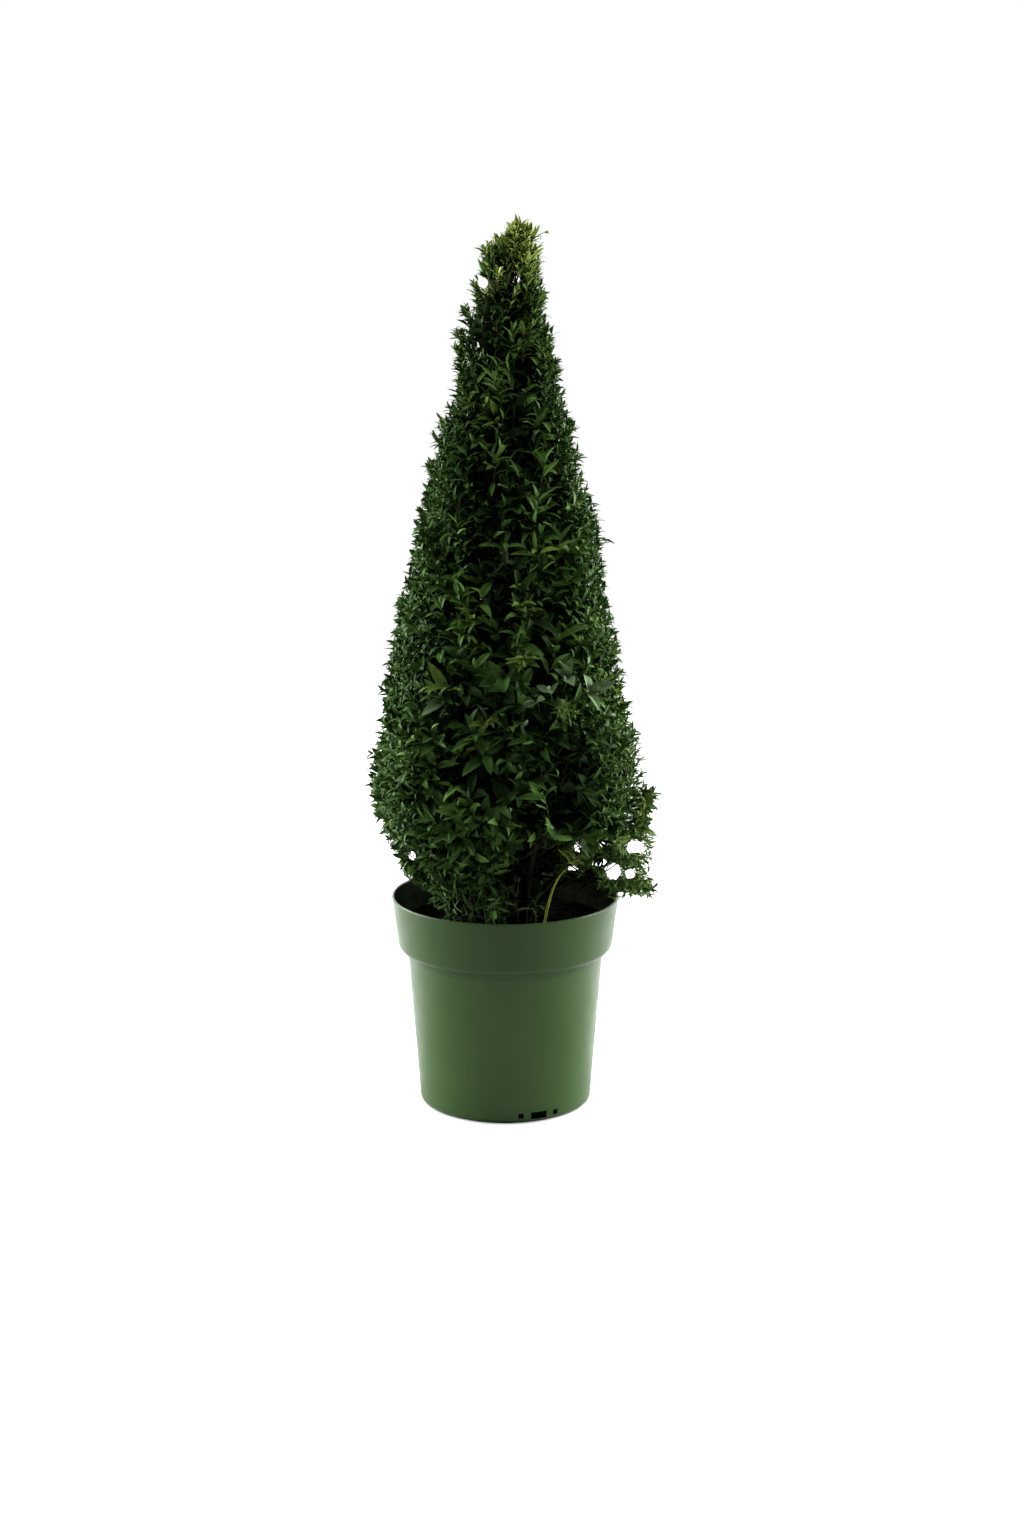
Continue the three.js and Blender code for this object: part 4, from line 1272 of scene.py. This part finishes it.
rng = np.random.default_rng(97)
BRANCHLETS = 620
FRONT_LIMIT = -0.146  # a clipped shoot that ends nearer the front than this is left out
all_shoots = shoots.gather()
middle_of = all_shoots["tip"] - all_shoots["aim"] * 0.5 * all_shoots["leafy"][:, None]
young = limbs["young_shoot"]
beside = np.abs(middle_of[:, 0] - np.interp(middle_of[:, 2], young[:, 2], young[:, 0])) < 0.013
crowding = beside & (middle_of[:, 1] < young[-1, 1]) & (middle_of[:, 2] < young[-1, 2] + 0.004)
crowding |= (all_shoots["layer"] == CLIPPED) & (all_shoots["tip"][:, 1] < FRONT_LIMIT)
all_shoots = {key: rows[~crowding] for key, rows in all_shoots.items()}
print(int(crowding.sum()), "shoots left out in front")
tips, aims, feet = all_shoots["tip"], all_shoots["aim"], all_shoots["foot"]
wood = np.concatenate([bough_lines.reshape(-1, 3), leader[leader[:, 2] > 0.36, :3]])
loose = np.isnan(feet[:, 0])
ends = tips[rng.choice(np.nonzero(loose)[0], BRANCHLETS, replace=False)]
middle = np.column_stack([middle_at(ends[:, 2]), 0 * ends[:, 2], ends[:, 2]])
ends = middle + (ends - middle) * 0.76 - [0, 0, 0.014]
starts = wood[nearest_below(ends, wood)]
bends = (starts + ends) / 2 + rng.normal(0, 0.004, ends.shape) - [0, 0, 0.006]
branchlets = bowed(starts, bends, ends, 6)

twig_wood = np.concatenate([branchlets.reshape(-1, 3), wood])
leafy = all_shoots["leafy"][:, None]
feet[loose] = twig_wood[nearest_below((tips - aims * leafy)[loose], twig_wood)]
bends = tips - aims * np.minimum(leafy * 0.75, 0.5 * np.linalg.norm(tips - feet, axis=1)[:, None])
print(len(branchlets), "branchlets carry", len(tips), "shoots")

# %% [markdown]
# Now every shoot gets its leaves, in crossed pairs. Then leaves are picked off over the hollows,
# in the holes and under the hem, with ragged edges. What is left becomes one mesh for each mass
# and kind of green, so about seventy pieces hold all the leaves.

# %% Lay the leaves of every shoot
rng = np.random.default_rng(53)
laid, leaf_shoot = [], []
for pairs in np.unique(all_shoots["pairs"]):
    of = np.nonzero(all_shoots["pairs"] == pairs)[0]
    corners, rows_of = leaves_on(
        feet[of], bends[of], tips[of], all_shoots["leafy"][of], all_shoots["leaf"][of],
        all_shoots["slim"][of], all_shoots["splay"][of], pairs, rng
    )
    laid.append(corners)
    leaf_shoot.append(of[rows_of])
leaf_corners, leaf_shoot = np.concatenate(laid), np.concatenate(leaf_shoot)

# Leaves are picked off where the crown opens: over the hollows, in the holes and under the hem.
layer = all_shoots["layer"][leaf_shoot]
leaf_middle = leaf_corners.mean(1)
front = leaf_middle[:, 1] < 0
over_hollow = inside(leaf_middle, HOLLOWS) > 0.4 * rng.random(len(layer)) ** 2
over_hollow |= inside(leaf_corners, HOLLOWS).max(1) > 0.3 + 0.4 * rng.random(len(layer))
over_hollow &= (layer == CLIPPED) & front
poking_in = 0.7 * rng.random((len(layer), 1)) ** 2
in_hole = (inside(leaf_corners, SKY_HOLES) > poking_in).any(1)
appears_x, appears_z = seen_from_front(leaf_corners)
hem_height = np.interp(appears_x.mean(1), *HEM_LINE) - 0.008 * rng.random(len(layer))
under_hem = (layer != LOOSE) & front & (appears_z.min(1) < hem_height)
under_hem |= (appears_x.mean(1) < -0.1) & (appears_z.min(1) < hem_height)
lifted = (appears_x.mean(1) > SKIRT_LIFT[0]) & (appears_x.mean(1) < SKIRT_LIFT[1])
under_hem |= lifted & (appears_z.min(1) < SKIRT_LIFT[2] - 0.004 * rng.random(len(layer)))
picked = over_hollow | in_hole | under_hem
print(int(over_hollow.sum()), int(in_hole.sum()), int(under_hem.sum()), "leaves off hollows, holes and hem")
leaf_corners, leaf_shoot = leaf_corners[~picked], leaf_shoot[~picked]
print(len(leaf_corners), "leaves,", len(leaf_corners) * 16, "triangles")

# Here and there a leaf takes the pale green: partly the paler underside of a leaf turned over,
# and partly a painted sheen where a glossy leaf catches the light.
TURNED_OVER_AND_SHEEN = 0.035
leaf_kind = all_shoots["kind"][leaf_shoot]
may_go_pale = (leaf_kind != SHADED) * (leaf_middle[~picked][:, 2] < 0.9)
turned_over_and_sheen = rng.random(len(leaf_shoot)) < TURNED_OVER_AND_SHEEN * may_go_pale
leaf_kind = np.where(turned_over_and_sheen, PALE, leaf_kind)
leaves_left = np.bincount(leaf_shoot, minlength=len(tips))

for node in MASSES + PADS:
    of_node = all_shoots["owner"] == node
    for k, kind in enumerate(KINDS):
        pick = of_node[leaf_shoot] & (leaf_kind == k)
        if pick.sum() == 0:
            continue
        name = f"{node}_leaves_{kind}"
        piece = copies_as_mesh(name, leaf_corners[pick], leaf_faces, leaf_finishes[kind], crease=VEIN)
        stands_for(piece, LEAF_SLOTS[kind], node)
    leafy_ones = of_node & (leaves_left > 3)
    lines = bowed(feet[leafy_ones], bends[leafy_ones], tips[leafy_ones], 5)
    lines = lines[(inside(lines, SKY_HOLES) == 0).all(1)]
    piece = tubes(f"{node}_shoot_stems", lines, 0.0008, 0.0004, 4, green_bark)
    stands_for(piece, "young_bark", node)
print("leaves and shoot stems are in place")

# %% [markdown]
# The boughs and branchlets of the rule above are thin and mostly hidden, so plain tubes do.

# %% Boughs and branchlets inside the crown
inner_boughs = tubes("inner_boughs", bough_lines, bough_thick, bough_thick * 0.5, 7, bark)
branchlet_wood = tubes("branchlets", branchlets, 0.0016, 0.0009, 5, bark)
for piece in (inner_boughs, branchlet_wood):
    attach(piece, "root")
    report(piece)

# %% [markdown]
# The leader, the side stems and the low boughs are thick enough to show their bark. Each is drawn
# up along its centre line, made finer, and its surface is pushed in and out by a cloud texture
# that is stretched along the stem, which gives the furrows.

# %% Leader, side stems and low boughs with bark
for node, line in limbs.items():
    fine = line if node == "main_stem" else eased(line, 22)
    sides = 16 if node == "main_stem" else 10
    stem = settle(drawn_up([tuple(row) for row in fine], sides), f"{node}_wood")
    apply_modifier(stem, "SUBSURF", subdivision_type="CATMULL_CLARK", levels=1, render_levels=1)
    if node != "young_shoot":
        displaced(stem, f"{node} furrows", 0.006, 0.0022 if node == "main_stem" else 0.0012, (1, 1, 5))
    start_clean()
    stem.select_set(True)
    bpy.ops.object.shade_smooth()
    young = node == "young_shoot"
    stem.data.materials.append(young_bark if young else bark)
    stands_for(stem, "young_bark" if young else "bark", node)
    report(stem)
